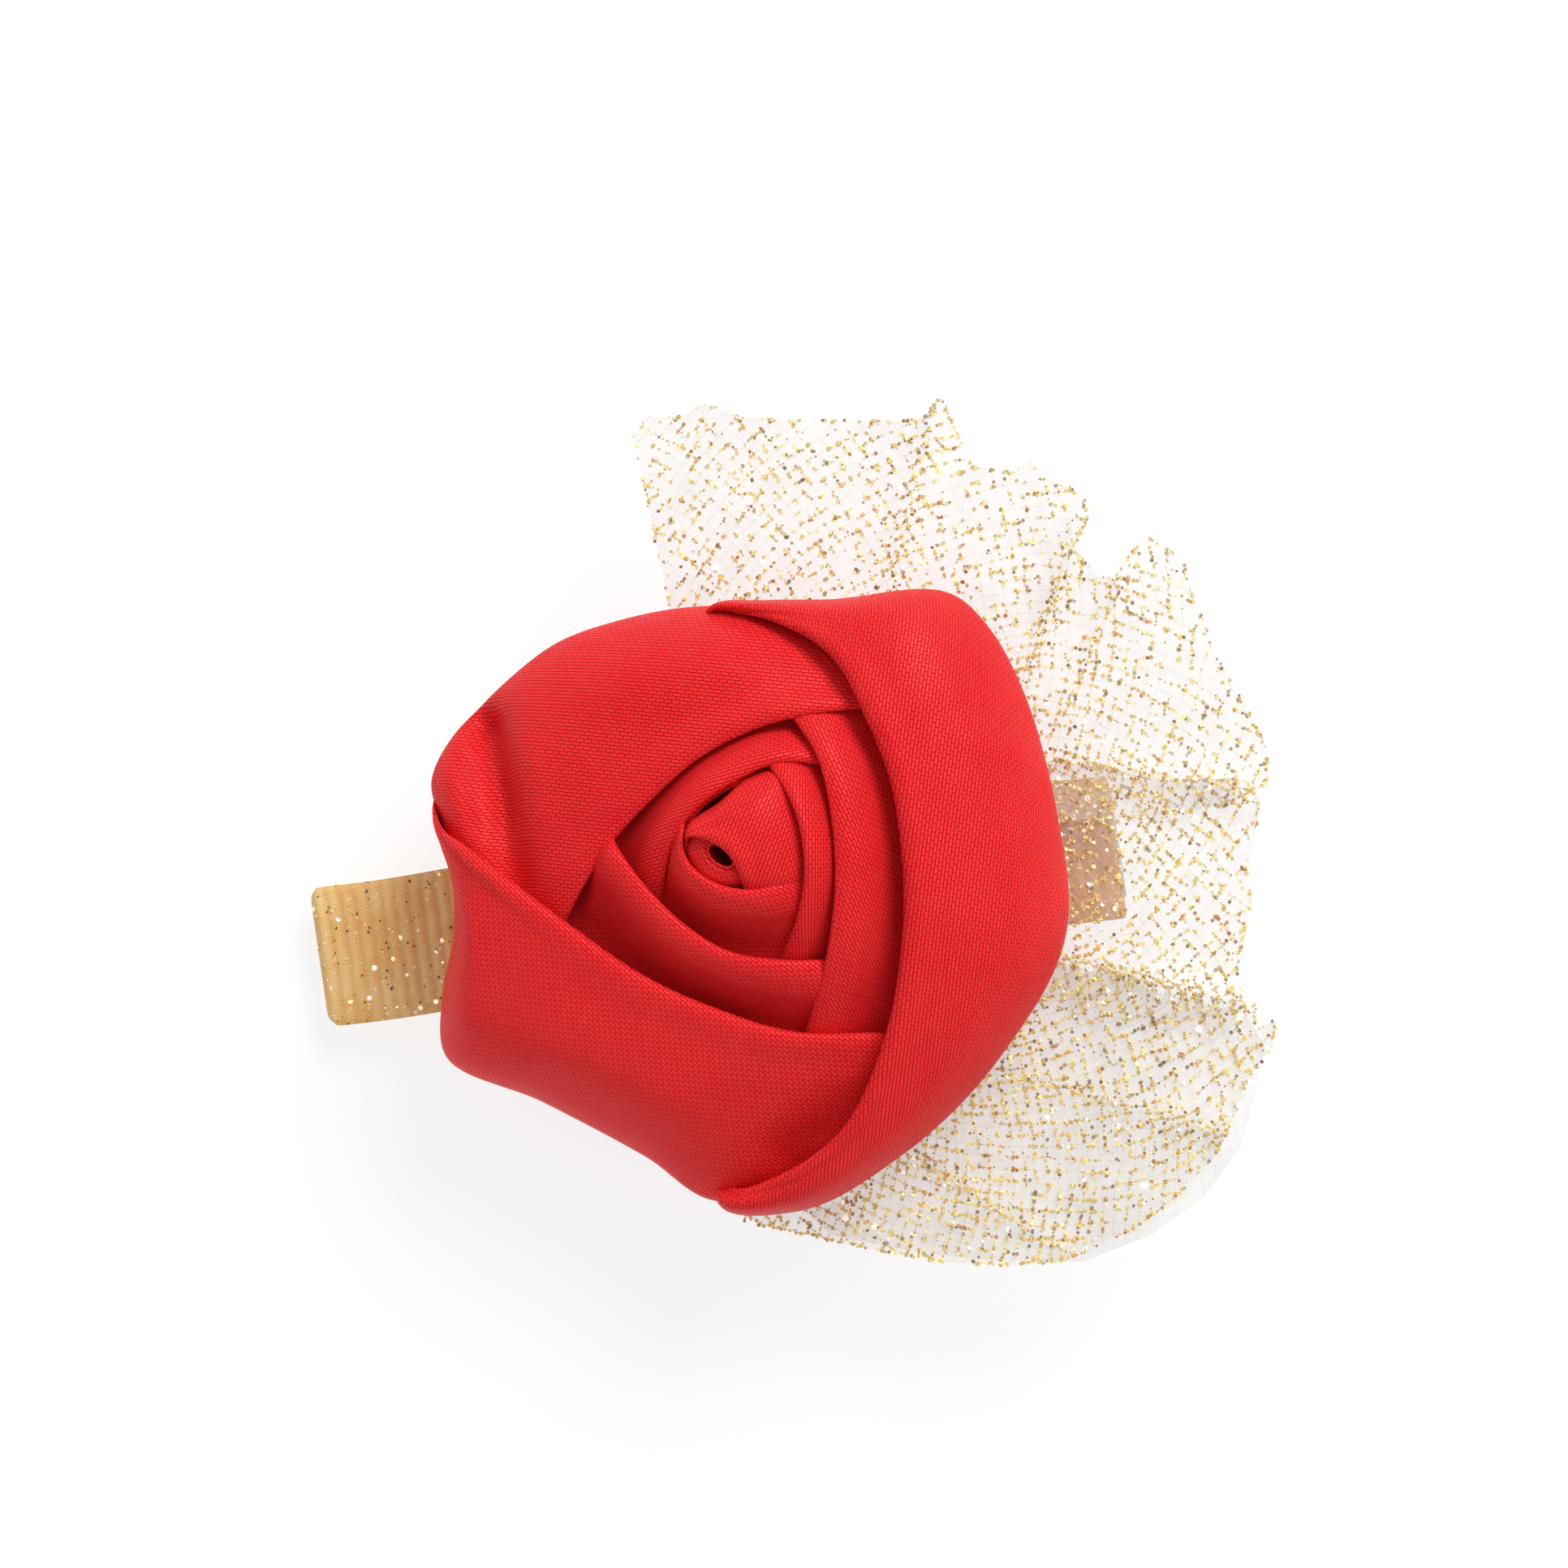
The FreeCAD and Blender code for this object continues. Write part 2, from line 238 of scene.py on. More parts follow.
def weave_group():
    """Staggered long stitches of a woven cloth: a height and a tone that varies by stitch."""
    shade, given, out = new_group(
        "weave",
        [("Vector", "Vector", None), ("Length", "Float", 0.5), ("Width", "Float", 0.16)],
        [("Height", "Float"), ("Tone", "Float")])
    brick = shade.add("ShaderNodeTexBrick", {"offset": 0.5}, Vector=given["Vector"], Scale=1.0,
                      Color1=(0.0, 0.0, 0.0, 1), Color2=(1.0, 1.0, 1.0, 1), Mortar=(0.3, 0.3, 0.3, 1),
                      Mortar_Size=0.045, Mortar_Smooth=1.0)
    shade.put(brick, "Brick Width", given["Length"])
    shade.put(brick, "Row Height", given["Width"])
    shade.put(out, "Height", shade.math("SUBTRACT", 1.0, brick.outputs["Fac"]))
    shade.put(out, "Tone", brick.outputs["Color"])
    return shade.tree


MOTTLE = mottle_group()
WEAVE = weave_group()


def new_material(name):
    """An empty node material, with its Principled BSDF already linked to the output."""
    material = bpy.data.materials.new(name)
    material.use_nodes = True
    material.node_tree.nodes.clear()
    shade = Shade(material.node_tree)
    bsdf = shade.add("ShaderNodeBsdfPrincipled")
    shade.add("ShaderNodeOutputMaterial", Surface=bsdf.outputs[0])
    return material, shade, bsdf


def satin_material():
    """Red polyester satin: long stitches along the strip, soft gloss across it; painted shade in the gaps
    between stitches and a painted sheen on the stitches.
    """
    material, shade, bsdf = new_material("red_satin")
    uv = shade.add("ShaderNodeUVMap", {"uv_map": "Cloth"}).outputs[0]
    place = shade.add("ShaderNodeTexCoord").outputs["Object"]
    weave = shade.use(WEAVE, Vector=uv, Length=0.56, Width=0.25)
    mottle = shade.use(MOTTLE, Vector=place, Size=180.0, Dark=(0.88, 0.020, 0.027, 1),
                       Light=(0.96, 0.030, 0.031, 1), Rough=0.42, Spread=0.12)
    # Painted shade: the thin gaps between the stitches are darkened towards a deep red.
    painted_gap_shade = shade.mix(0.85, mottle.outputs["Color"], (0.50, 0.0, 0.010, 1))
    stitches_with_painted_shade = shade.mix(weave.outputs["Height"], painted_gap_shade, mottle.outputs["Color"])
    # Each stitch is tinted by its own random amount towards orange-red: partly the stitches' own tone, partly
    # painted sheen.
    stitch = shade.math("MULTIPLY", weave.outputs["Tone"], 0.12)
    shade.put(bsdf, "Base Color", shade.mix(stitch, stitches_with_painted_shade, (1.0, 0.095, 0.058, 1)))
    shade.put(bsdf, "Roughness", mottle.outputs["Roughness"])
    bump = shade.add("ShaderNodeBump", Strength=0.8, Distance=0.00008, Height=weave.outputs["Height"])
    shade.put(bsdf, "Normal", bump.outputs[0])
    tangent = shade.add("ShaderNodeTangent", {"direction_type": "UV_MAP", "uv_map": "Cloth"})
    shade.put(bsdf, "Tangent", tangent.outputs[0])
    shade.put(bsdf, "Anisotropic", 0.5)
    shade.put(bsdf, "Specular IOR Level", 0.19)
    shade.put(bsdf, "Specular Tint", (1.0, 0.45, 0.45, 1))
    shade.put(bsdf, "Metallic", 0.12)
    return material


def ribbon_material():
    """Tan grosgrain: matt ribs with the warp showing; painted shade between the ribs, and a painted shade that
    browns it as X grows.
    """
    material, shade, bsdf = new_material("gold_grosgrain")
    uv = shade.add("ShaderNodeUVMap", {"uv_map": "Cloth"}).outputs[0]
    place = shade.add("ShaderNodeTexCoord").outputs["Object"]
    weave = shade.use(WEAVE, Vector=uv, Length=0.5, Width=0.14)
    mottle = shade.use(MOTTLE, Vector=place, Size=420.0, Dark=(0.95, 0.54, 0.16, 1),
                       Light=(1.0, 0.74, 0.32, 1), Rough=0.6, Spread=0.3)
    length = shade.add("ShaderNodeSeparateXYZ", Vector=place).outputs["X"]
    # Painted shade: the face turns a darker brown as its X grows.
    painted_shade_ramp = shade.math("MULTIPLY_ADD", length, 18.0, 0.42, clamp=True)
    face = shade.mix(painted_shade_ramp, mottle.outputs["Color"], (0.74, 0.32, 0.045, 1))
    along = shade.add("ShaderNodeSeparateXYZ", Vector=uv).outputs["X"]
    swing = shade.math("COSINE", shade.math("MULTIPLY", along, 2 * math.pi / RIB_PITCH))
    # Painted shade: the hollows between the ribs are darkened.
    between = shade.math("MULTIPLY_ADD", swing, -0.17, 0.11, clamp=True)
    ground_with_painted_shade = shade.mix(between, face, (0.66, 0.29, 0.08, 1))
    strands = shade.math("MULTIPLY_ADD", weave.outputs["Height"], -0.22, 0.22)
    shade.put(bsdf, "Base Color", shade.mix(strands, ground_with_painted_shade, (0.40, 0.17, 0.05, 1)))
    shade.put(bsdf, "Roughness", mottle.outputs["Roughness"])
    bump = shade.add("ShaderNodeBump", Strength=0.5, Distance=0.00006, Height=weave.outputs["Height"])
    shade.put(bsdf, "Normal", bump.outputs[0])
    shade.put(bsdf, "Sheen Weight", 0.15)
    return material


def net_material(name, tone, pale, alpha):
    """White nylon net: see-through, slightly milky."""
    material, shade, bsdf = new_material(name)
    place = shade.add("ShaderNodeTexCoord").outputs["Object"]
    mottle = shade.use(MOTTLE, Vector=place, Size=260.0, Dark=tone, Light=pale,
                       Rough=0.5, Spread=0.2)
    shade.put(bsdf, "Base Color", mottle.outputs["Color"])
    shade.put(bsdf, "Roughness", mottle.outputs["Roughness"])
    veil = shade.add("ShaderNodeTexNoise", Vector=place, Scale=900.0, Detail=2.0)
    shade.put(bsdf, "Alpha", shade.math("MULTIPLY_ADD", veil.outputs["Fac"], alpha, alpha * 0.5))
    return material


def glitter_material(name, tones, painted_glint_glow=0.0):
    """Foil flakes in several tones, one tone a flake; tones are (share below, colour) pairs. The flakes also
    glow faintly in their own colour: a painted glint.
    """
    material, shade, bsdf = new_material(name)
    tint = shade.add("ShaderNodeAttribute", {"attribute_name": "tint"}).outputs["Fac"]
    colour = shade.ramp(tint, *tones, sharp=True)
    place = shade.add("ShaderNodeTexCoord").outputs["Object"]
    mottle = shade.use(MOTTLE, Vector=place, Size=4000.0, Dark=(0.7, 0.7, 0.7, 1), Light=(1, 1, 1, 1),
                       Rough=0.32, Spread=0.2)
    mottled_tone_and_glow = shade.add("ShaderNodeMix", {"data_type": "RGBA", "blend_type": "MULTIPLY"})
    shade.put(mottled_tone_and_glow, "Factor", 0.6)
    shade.put(mottled_tone_and_glow, "A", colour)
    shade.put(mottled_tone_and_glow, "B", mottle.outputs["Color"])
    shade.put(bsdf, "Base Color", mottled_tone_and_glow.outputs["Result"])
    shade.put(bsdf, "Roughness", mottle.outputs["Roughness"])
    shade.put(bsdf, "Metallic", 0.1)
    # Painted glint: the flakes glow in their own colour, though they are no lamp.
    shade.put(bsdf, "Emission Color", mottled_tone_and_glow.outputs["Result"])
    shade.put(bsdf, "Emission Strength", painted_glint_glow)
    return material


def felt_material():
    """Dull red craft felt: tangled fibres, no gloss."""
    material, shade, bsdf = new_material("red_felt")
    place = shade.add("ShaderNodeTexCoord").outputs["Object"]
    mottle = shade.use(MOTTLE, Vector=place, Size=900.0, Dark=(0.30, 0.006, 0.010, 1),
                       Light=(0.58, 0.02, 0.025, 1), Rough=0.92, Spread=0.1)
    fibres = shade.add("ShaderNodeTexNoise", Vector=place, Scale=3500.0, Detail=5.0, Distortion=1.5)
    shade.put(bsdf, "Base Color", mottle.outputs["Color"])
    shade.put(bsdf, "Roughness", mottle.outputs["Roughness"])
    bump = shade.add("ShaderNodeBump", Strength=0.8, Distance=0.0002, Height=fibres.outputs["Fac"])
    shade.put(bsdf, "Normal", bump.outputs[0])
    shade.put(bsdf, "Sheen Weight", 0.6)
    return material


def steel_material(name, dark, light, rough):
    """Plated sheet steel: fine drawn scratches along the clip, a little cloudiness."""
    material, shade, bsdf = new_material(name)
    place = shade.add("ShaderNodeTexCoord").outputs["Object"]
    mottle = shade.use(MOTTLE, Vector=place, Size=350.0, Dark=dark, Light=light, Rough=rough, Spread=0.25)
    drawn = shade.add("ShaderNodeMapping", Vector=place, Scale=(60.0, 2400.0, 2400.0))
    lines = shade.add("ShaderNodeTexNoise", Vector=drawn.outputs[0], Scale=1.0, Detail=4.0)
    shade.put(bsdf, "Base Color", mottle.outputs["Color"])
    shade.put(bsdf, "Roughness", mottle.outputs["Roughness"])
    bump = shade.add("ShaderNodeBump", Strength=0.25, Distance=0.00003, Height=lines.outputs["Fac"])
    shade.put(bsdf, "Normal", bump.outputs[0])
    shade.put(bsdf, "Metallic", 1.0)
    return material


def glue_material():
    """Set hot-melt glue: milky, with small bubbles."""
    material, shade, bsdf = new_material("hot_melt_glue")
    place = shade.add("ShaderNodeTexCoord").outputs["Object"]
    mottle = shade.use(MOTTLE, Vector=place, Size=500.0, Dark=(0.70, 0.66, 0.52, 1),
                       Light=(0.88, 0.86, 0.78, 1), Rough=0.25, Spread=0.2)
    bubbles = shade.add("ShaderNodeTexVoronoi", Vector=place, Scale=1800.0)
    shade.put(bsdf, "Base Color", mottle.outputs["Color"])
    shade.put(bsdf, "Roughness", mottle.outputs["Roughness"])
    bump = shade.add("ShaderNodeBump", Strength=0.3, Distance=0.0001, Height=bubbles.outputs["Distance"])
    shade.put(bsdf, "Normal", bump.outputs[0])
    shade.put(bsdf, "Subsurface Weight", 0.3)
    shade.put(bsdf, "Subsurface Scale", 0.002)
    return material


SATIN = satin_material()
RIBBON = ribbon_material()
NET_THREAD = net_material("net_thread", (0.86, 0.85, 0.82, 1), (0.97, 0.965, 0.95, 1), 0.28)
# The veil sheet stands in for the haze of the fine net; its greyish brown tone is painted shade.
NET_HAZE_AND_SHADE_VEIL = net_material("net_veil", (0.70, 0.65, 0.59, 1), (0.86, 0.815, 0.76, 1), 0.30)
# The last number of each foil is how strongly its flakes glow: a painted glint, strongest on the silver sparks.
GLITTER = glitter_material("net_foil", (
    (0.0, (0.78, 0.54, 0.18)), (0.28, (0.95, 0.72, 0.27)), (0.50, (0.98, 0.86, 0.32)),
    (0.66, (0.55, 0.26, 0.12)), (0.75, (0.30, 0.24, 0.15)), (0.81, (0.68, 0.56, 0.30)),
    (0.94, (1.0, 1.0, 0.95))), 0.12)
RIBBON_GLITTER = glitter_material("ribbon_foil", (
    (0.0, (0.95, 0.75, 0.40)), (0.45, (0.75, 0.45, 0.10)), (0.62, (0.10, 0.08, 0.03)),
    (0.78, (0.45, 0.12, 0.03)), (0.88, (1.0, 0.95, 0.70))), 0.1)
SPARK = glitter_material("silver_foil", ((0.0, (1.0, 0.98, 0.88)), (0.7, (0.98, 0.86, 0.45))), 0.5)
FELT = felt_material()
CLIP_STEEL = steel_material("nickel_plate", (0.55, 0.55, 0.56, 1), (0.75, 0.75, 0.74, 1), 0.3)
WIRE_STEEL = steel_material("spring_wire", (0.42, 0.42, 0.43, 1), (0.6, 0.6, 0.6, 1), 0.25)
GLUE = glue_material()


# ---- the rosette --------------------------------------------------------------------------
# Each fold is the doubled satin strip lying on the folds inside it. It is given as pairs of
# points along its length: the lip, which is the strip's folded edge, and the rim below it.
ROSETTE_MIDDLE = np.array((4.0, 0.0, 4.4))

OUTER = {
    "right": [((3.2, 19.0, 5.6), (2.8, 18.8, 5.0)), ((4.6, 20.1, 8.2), (4.8, 20.4, 7.3)),
              ((6.9, 19.5, 9.5), (7.8, 20.1, 7.6)), ((9.4, 18.4, 10.9), (12.2, 19.5, 7.6)), ((13.6, 14.4, 13.3), (21.1, 18.4, 7.2)),
              ((14.6, 11.6, 14.0), (22.9, 16.0, 7.1)), ((15.6, 8.0, 14.2), (24.4, 12.0, 7.0)),
              ((15.9, 2.0, 14.4), (25.6, 3.5, 7.0)), ((15.1, -3.8, 14.2), (25.1, -5.2, 7.0)), ((12.9, -10.2, 13.4), (19.8, -12.6, 7.0)),
              ((8.6, -16.4, 11.8), (11.8, -18.7, 6.8)), ((3.6, -19.0, 10.2), (4.2, -21.6, 6.8)),
              ((0.2, -19.6, 8.4), (-0.9, -20.9, 6.6)), ((-1.4, -18.6, 5.6), (-1.8, -18.8, 5.0))],
    "back": [((18.5, 11.0, 10.5), (13.5, 18.0, 6.0)), ((14.0, 11.8, 12.4), (7.0, 20.0, 6.8)),
             ((10.8, 11.9, 13.4), (2.5, 20.6, 7.0)), ((6.8, 11.4, 13.7), (-2.5, 20.4, 7.0)),
             ((3.0, 10.1, 13.7), (-7.0, 19.5, 7.0)), ((-0.5, 7.9, 13.6), (-11.5, 17.0, 7.0)),
             ((-3.7, 5.4, 13.3), (-15.0, 14.4, 7.0)), ((-6.5, 2.4, 12.8), (-17.0, 11.4, 7.6)),
             ((-9.5, -1.5, 11.0), (-16.4, 7.5, 8.2))],
    "front": [((-13.8, 12.6, 4.6), (-13.2, 12.2, 4.2)), ((-16.2, 11.2, 6.2), (-16.5, 10.6, 5.6)),
              ((-16.75, 9.2, 8.6), (-17.1, 8.4, 7.0)), ((-15.9, 7.7, 10.7), (-16.7, 6.2, 7.3)),
              ((-14.4, 6.6, 12.2), (-16.5, 3.8, 7.2)), ((-12.4, 4.8, 13.1), (-17.0, 0.8, 7.0)), ((-8.0, 0.6, 13.7), (-18.6, -3.8, 7.0)),
              ((-3.5, -3.5, 13.9), (-19.0, -8.0, 6.6)), ((2.0, -7.0, 13.8), (-12.5, -12.0, 7.0)),
              ((7.0, -9.2, 13.3), (-6.0, -16.6, 7.0)), ((12.6, -10.1, 11.9), (-1.5, -20.4, 6.5)),
              ((16.5, -11.0, 9.8), (6.0, -20.0, 5.4))],
}
MIDDLE = {
    "right": [((7.2, 14.6, 10.5), (14.0, 17.0, 8.0)), ((9.6, 11.8, 13.3), (17.0, 13.5, 9.5)),
              ((11.1, 8.9, 14.7), (19.0, 9.0, 10.0)), ((11.5, 5.0, 15.2), (19.5, 4.0, 10.2)),
              ((11.2, 1.0, 15.2), (19.3, -1.0, 10.0)), ((10.0, -3.6, 14.7), (17.0, -7.5, 9.8)),
              ((7.9, -8.0, 12.8), (13.5, -12.5, 9.0)), ((5.5, -12.0, 10.0), (9.0, -16.0, 8.0))],
    "back": [((13.5, 7.4, 12.5), (13.5, 14.0, 9.5)), ((11.0, 8.5, 13.8), (10.0, 14.5, 10.0)),
             ((8.4, 9.0, 14.7), (6.0, 15.0, 10.0)), ((5.4, 8.2, 15.0), (1.5, 13.5, 10.0)),
             ((2.6, 6.8, 15.0), (-2.5, 10.5, 10.0)), ((0.6, 4.8, 14.5), (-5.8, 6.8, 10.0)),
             ((-0.8, 2.0, 13.2), (-8.0, 2.5, 9.6)), ((-2.2, -1.5, 11.0), (-8.5, -1.5, 9.0))],
    "front": [((-4.5, 6.6, 9.8), (-10.2, 3.8, 7.2)), ((-3.7, 5.4, 13.6), (-9.7, 1.4, 9.3)),
              ((-2.0, 2.4, 14.8), (-7.4, -3.2, 10.0)), ((0.6, -0.9, 15.1), (-3.5, -7.0, 10.0)),
              ((3.4, -3.1, 15.2), (1.0, -9.8, 10.0)), ((6.6, -4.1, 14.9), (5.5, -11.8, 10.0)),
              ((9.8, -4.6, 13.6), (10.5, -13.0, 9.6)), ((13.0, -5.0, 11.4), (14.0, -12.0, 9.0))],
}
INNER = {
    "right": [((5.6, 11.0, 12.0), (9.5, 13.0, 10.5)), ((7.7, 8.9, 14.5), (12.5, 10.5, 11.3)),
              ((9.0, 6.6, 16.0), (13.8, 7.5, 11.8)), ((9.5, 4.1, 16.4), (14.3, 3.5, 12.0)),
              ((9.3, 1.4, 16.2), (13.8, -0.5, 12.0)), ((8.2, -1.5, 15.2), (12.0, -4.5, 11.8)),
              ((6.6, -3.9, 13.5), (9.5, -7.5, 11.3)), ((4.8, -6.5, 12.0), (7.0, -9.5, 10.5))],
    "back": [((9.8, 6.8, 13.0), (9.8, 11.5, 11.0)), ((7.6, 7.9, 14.0), (6.3, 11.3, 11.3)),
             ((4.8, 7.7, 14.2), (2.2, 10.0, 11.3)), ((2.4, 6.4, 14.2), (-1.0, 7.2, 11.3)),
             ((1.0, 4.2, 13.4), (-2.2, 3.5, 10.8))],
    "front": [((1.6, 7.2, 11.5), (-1.6, 4.0, 9.0)), ((1.5, 5.8, 15.0), (-2.2, 1.8, 11.0)),
              ((1.5, 3.8, 16.2), (-1.8, -0.4, 11.8)), ((2.7, 2.1, 16.6), (0.4, -3.0, 12.0)),
              ((5.4, 0.9, 16.6), (4.0, -5.2, 12.0)), ((8.0, 1.1, 15.8), (8.0, -6.0, 12.0)),
              ((10.4, 2.2, 14.0), (11.5, -4.5, 11.5))],
}
BUD_WRAP = [((1.6, 4.0, 15.6), (1.2, 4.6, 13.0)), ((2.0, 4.9, 16.8), (2.0, 6.0, 14.1)),
            ((2.9, 4.75, 17.2), (4.0, 7.0, 14.1)), ((3.6, 4.35, 17.3), (6.3, 8.4, 14.0)),
            ((4.3, 3.8, 17.3), (8.8, 8.6, 13.8)), ((4.75, 3.1, 17.2), (10.2, 6.2, 13.8)),
            ((5.0, 2.3, 17.0), (10.4, 3.2, 13.8)), ((5.1, 1.5, 16.6), (9.8, 0.8, 13.8)),
            ((5.1, 0.6, 15.6), (7.8, -1.0, 13.0))]
BUD_HOLE = (4.05, 3.35)   # middle of the roll
BUD_LEAN = -44.0


def bud_roll(turns=1.75, steps=20):
    """Lip and rim pairs of the tight roll at the heart of the flower."""
    turn = math.radians(BUD_LEAN)
    middle = np.array(BUD_HOLE)
    pairs = []
    for k in range(steps):
        t = k / (steps - 1)
        angle = 0.3 - turns * 2 * math.pi * t
        x, y = (0.85 + 0.5 * t) * math.cos(angle), (0.42 + 0.5 * t) * math.sin(angle)
        away = np.array((x * math.cos(turn) - y * math.sin(turn), x * math.sin(turn) + y * math.cos(turn)))
        outward = away / np.linalg.norm(away)
        lip = middle + away
        foot = lip + outward * (1.0 + 0.7 * t)
        pairs.append(((*lip, 16.7 - 0.2 * t), (*foot, 14.6 + 0.9 * t)))
    return pairs


PROFILES = {
    "broad": ((0.22, 0.10, 0.30), (0.42, 0.27, 0.75), (0.62, 0.46, 1.0), (0.82, 0.70, 0.85), (0.95, 0.88, 0.35)),
    "steep": ((0.12, 0.05, 0.8), (0.26, 0.22, 1.0), (0.42, 0.52, 0.9), (0.64, 0.82, 0.5), (0.86, 0.95, 0.2)),
}


def band(pairs, stations, crown, profile="steep", creases=(), walled=False, tucked=False, grain=0.0,
         seed=1):
    """Points and cloth coordinates of one fold, as rows across the strip by stations along it."""
    line = smooth_line(pairs, stations)
    lip, rim = line[:, 0], line[:, 1]
    out = (rim - lip) * (1, 1, 0)
    reach = np.linalg.norm(out, axis=1, keepdims=True)
    out = out / np.maximum(reach, 1e-6)
    drop = (lip - rim)[:, 2:3]
    up = np.array((0.0, 0.0, 1.0))
    ply = np.minimum(0.9, 0.12 + reach * 0.2)
    puff = np.minimum(1.0, reach / 4)

    def at(share, fall, lift=0.0):
        return lip + out * reach * share + up * (lift - drop * fall)

    if walled:
        rows = [lip + out * 0.1 - up * 3.6, lip + out * 0.1 - up * 1.6]
    else:
        rows = [at(0.62, 0.72, -ply * 1.2), at(0.3, 0.34, -ply)]
    rows += [
        lip + out * 0.5 * puff - up * np.minimum(0.95, ply),
        lip + out * 0.05 - up * 0.50 * puff,
        lip,
        lip + out * 0.34 * puff + up * 0.16 * puff,
    ]
    rows += [at(share, fall, crown * lift) for share, fall, lift in PROFILES[profile]]
    rows.append(rim)
    if tucked:
        inward = ROSETTE_MIDDLE - rim
        inward[:, 2] = 0
        to_base = rim[:, 2:3] - 4.5
        rows += [rim + inward * 0.02 - up * to_base * 0.45,
                 rim + inward * 0.12 - up * to_base * 0.88,
                 rim + inward * 0.5 - up * to_base]
    points = smooth_line(rows, 72 if tucked else 54)
    across = np.linspace(0, 1, len(points))[:, None]
    x, y = points[..., 0], points[..., 1]
    lift = 0.08 * ripple(x, y, seed, 2.4)
    for (x0, y0), (x1, y1), width, height in creases:
        way = np.array((x1 - x0, y1 - y0))
        share = np.clip(((x - x0) * way[0] + (y - y0) * way[1]) / (way @ way), 0, 1)
        away = np.hypot(x - x0 - share * way[0], y - y0 - share * way[1])
        lift = lift + height * np.exp(-(away / width) ** 2)
    fade = np.clip((across - 0.34) / 0.12, 0, 1) * np.clip((1.0 - across) / 0.12, 0, 1)
    points = points + up * (lift * fade)[..., None]
    from_start = np.concatenate([np.zeros((1, stations)),
                                 np.cumsum(np.linalg.norm(np.diff(points, axis=0), axis=2), axis=0)])
    at_lip = np.linalg.norm(points - lip, axis=2).mean(axis=1).argmin()
    from_lip = (from_start - from_start[at_lip])[..., None]
    flat = lip[:, :2] + out[:, :2] * from_lip
    turn = math.radians(grain)
    u = flat[..., 0] * math.cos(turn) + flat[..., 1] * math.sin(turn)
    v = flat[..., 1] * math.cos(turn) - flat[..., 0] * math.sin(turn)
    return points, np.stack([u, v], axis=-1)


def fold_piece(name, bands):
    """One satin piece from one or more bands, thickened to the doubled cloth."""
    points, uv, faces = [], [], []
    for grid, cloth in bands:
        rows, columns = grid.shape[:2]
        quads = grid_faces(rows, columns, start=sum(len(p) for p in points))
        flat = grid.reshape(-1, 3)
        middle = int(rows * 0.6) * (columns - 1) + columns // 2
        a, b, c, _ = (flat[i - sum(len(p) for p in points)] for i in quads[middle])
        if np.cross(b - a, c - a)[2] < 0:
            quads = [tuple(reversed(q)) for q in quads]
        faces += quads
        points.append(flat)
        uv.append(cloth.reshape(-1, 2))
    points = np.concatenate(points)
    piece = add_mesh(name, points, faces, np.concatenate(uv))
    thick = piece.modifiers.new("cloth", "SOLIDIFY")
    thick.thickness = SATIN_THICK * MM
    thick.offset = -1
    piece.data.materials.append(SATIN)
    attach(piece, "clip_top")
    return piece


# Creases pressed into a fold: from, to, half width and height, seen from above.
CREASES = {
    "outer_back": [((-12.4, 14.2), (-10.8, 3.6), 1.55, -3.0), ((-14.3, 12.0), (-13.8, 7.8), 0.8, -0.5),
                   ((-3.0, 14.0), (4.0, 15.5), 3.0, 0.3)],
    "outer_right": [((19.5, 9.0), (21.0, 1.0), 3.0, 0.35), ((17.0, 9.6), (24.1, 7.2), 1.3, 0.45),
                    ((17.4, 4.3), (15.8, -4.8), 1.3, -0.35),
                    ((17.0, -8.0), (9.5, -16.0), 1.6, 0.3)],
    "outer_front": [((-14.5, 1.5), (-16.5, -5.0), 1.6, 0.5), ((11.5, -11.5), (4.5, -17.5), 2.0, -1.3),
                    ((-8.0, -6.5), (-3.0, -12.0), 3.2, 0.35)],
    "middle_front": [((-3.9, 4.6), (-6.6, 1.0), 0.7, 0.35)],
    "inner_front": [((1.2, 4.8), (-1.2, 1.8), 0.5, 0.25)],
}


# The way the stitches run on each fold, in degrees from the clip's length.
GRAIN = {
    "outer_right": 74, "outer_back": -14, "outer_front": -54, "middle_right": -70, "middle_back": 6,
    "middle_front": -48, "inner_right": 80, "inner_back": 10, "inner_front": -40,
}


def make_rosette():
    """Every fold of the flower, and its bud."""
    rounds = (("outer", OUTER, 200, 1.3, "broad", True), ("middle", MIDDLE, 140, 0.35, "steep", False),
              ("inner", INNER, 110, 0.3, "steep", False))
    for number, (round_name, folds, stations, crown, profile, tucked) in enumerate(rounds):
        for place, pairs in folds.items():
            creases = CREASES.get(round_name + "_" + place, ())
            made = band(pairs, stations, crown, profile, creases, tucked=tucked,
                        grain=GRAIN[round_name + "_" + place], seed=number * 3 + len(place))
            piece = fold_piece("satin_" + round_name + "_" + place, [made])
            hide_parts("fold_" + round_name + "_" + place)
    roll = band(bud_roll(), 150, 0.25, "broad", walled=True, grain=-40, seed=20)
    wrap = band(BUD_WRAP, 90, 0.8, "broad", grain=60, seed=21)
    bud = fold_piece("satin_bud", [wrap, roll])
    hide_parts("rosette_bud")


# ---- geometry node trees --------------------------------------------------------------------
def new_tree(name, inputs):
    """An empty geometry tree with named inputs; returns its Shade, its inputs and its output."""
    tree = bpy.data.node_groups.new(name, "GeometryNodeTree")
    face = tree.interface
    face.new_socket("Geometry", in_out="INPUT", socket_type="NodeSocketGeometry")
    for label, kind, value in inputs:
        socket = face.new_socket(label, in_out="INPUT", socket_type="NodeSocket" + kind)
        if value is not None:
            socket.default_value = value
    face.new_socket("Geometry", in_out="OUTPUT", socket_type="NodeSocketGeometry")
    wires = Shade(tree)
    return wires, wires.add("NodeGroupInput").outputs, wires.add("NodeGroupOutput")


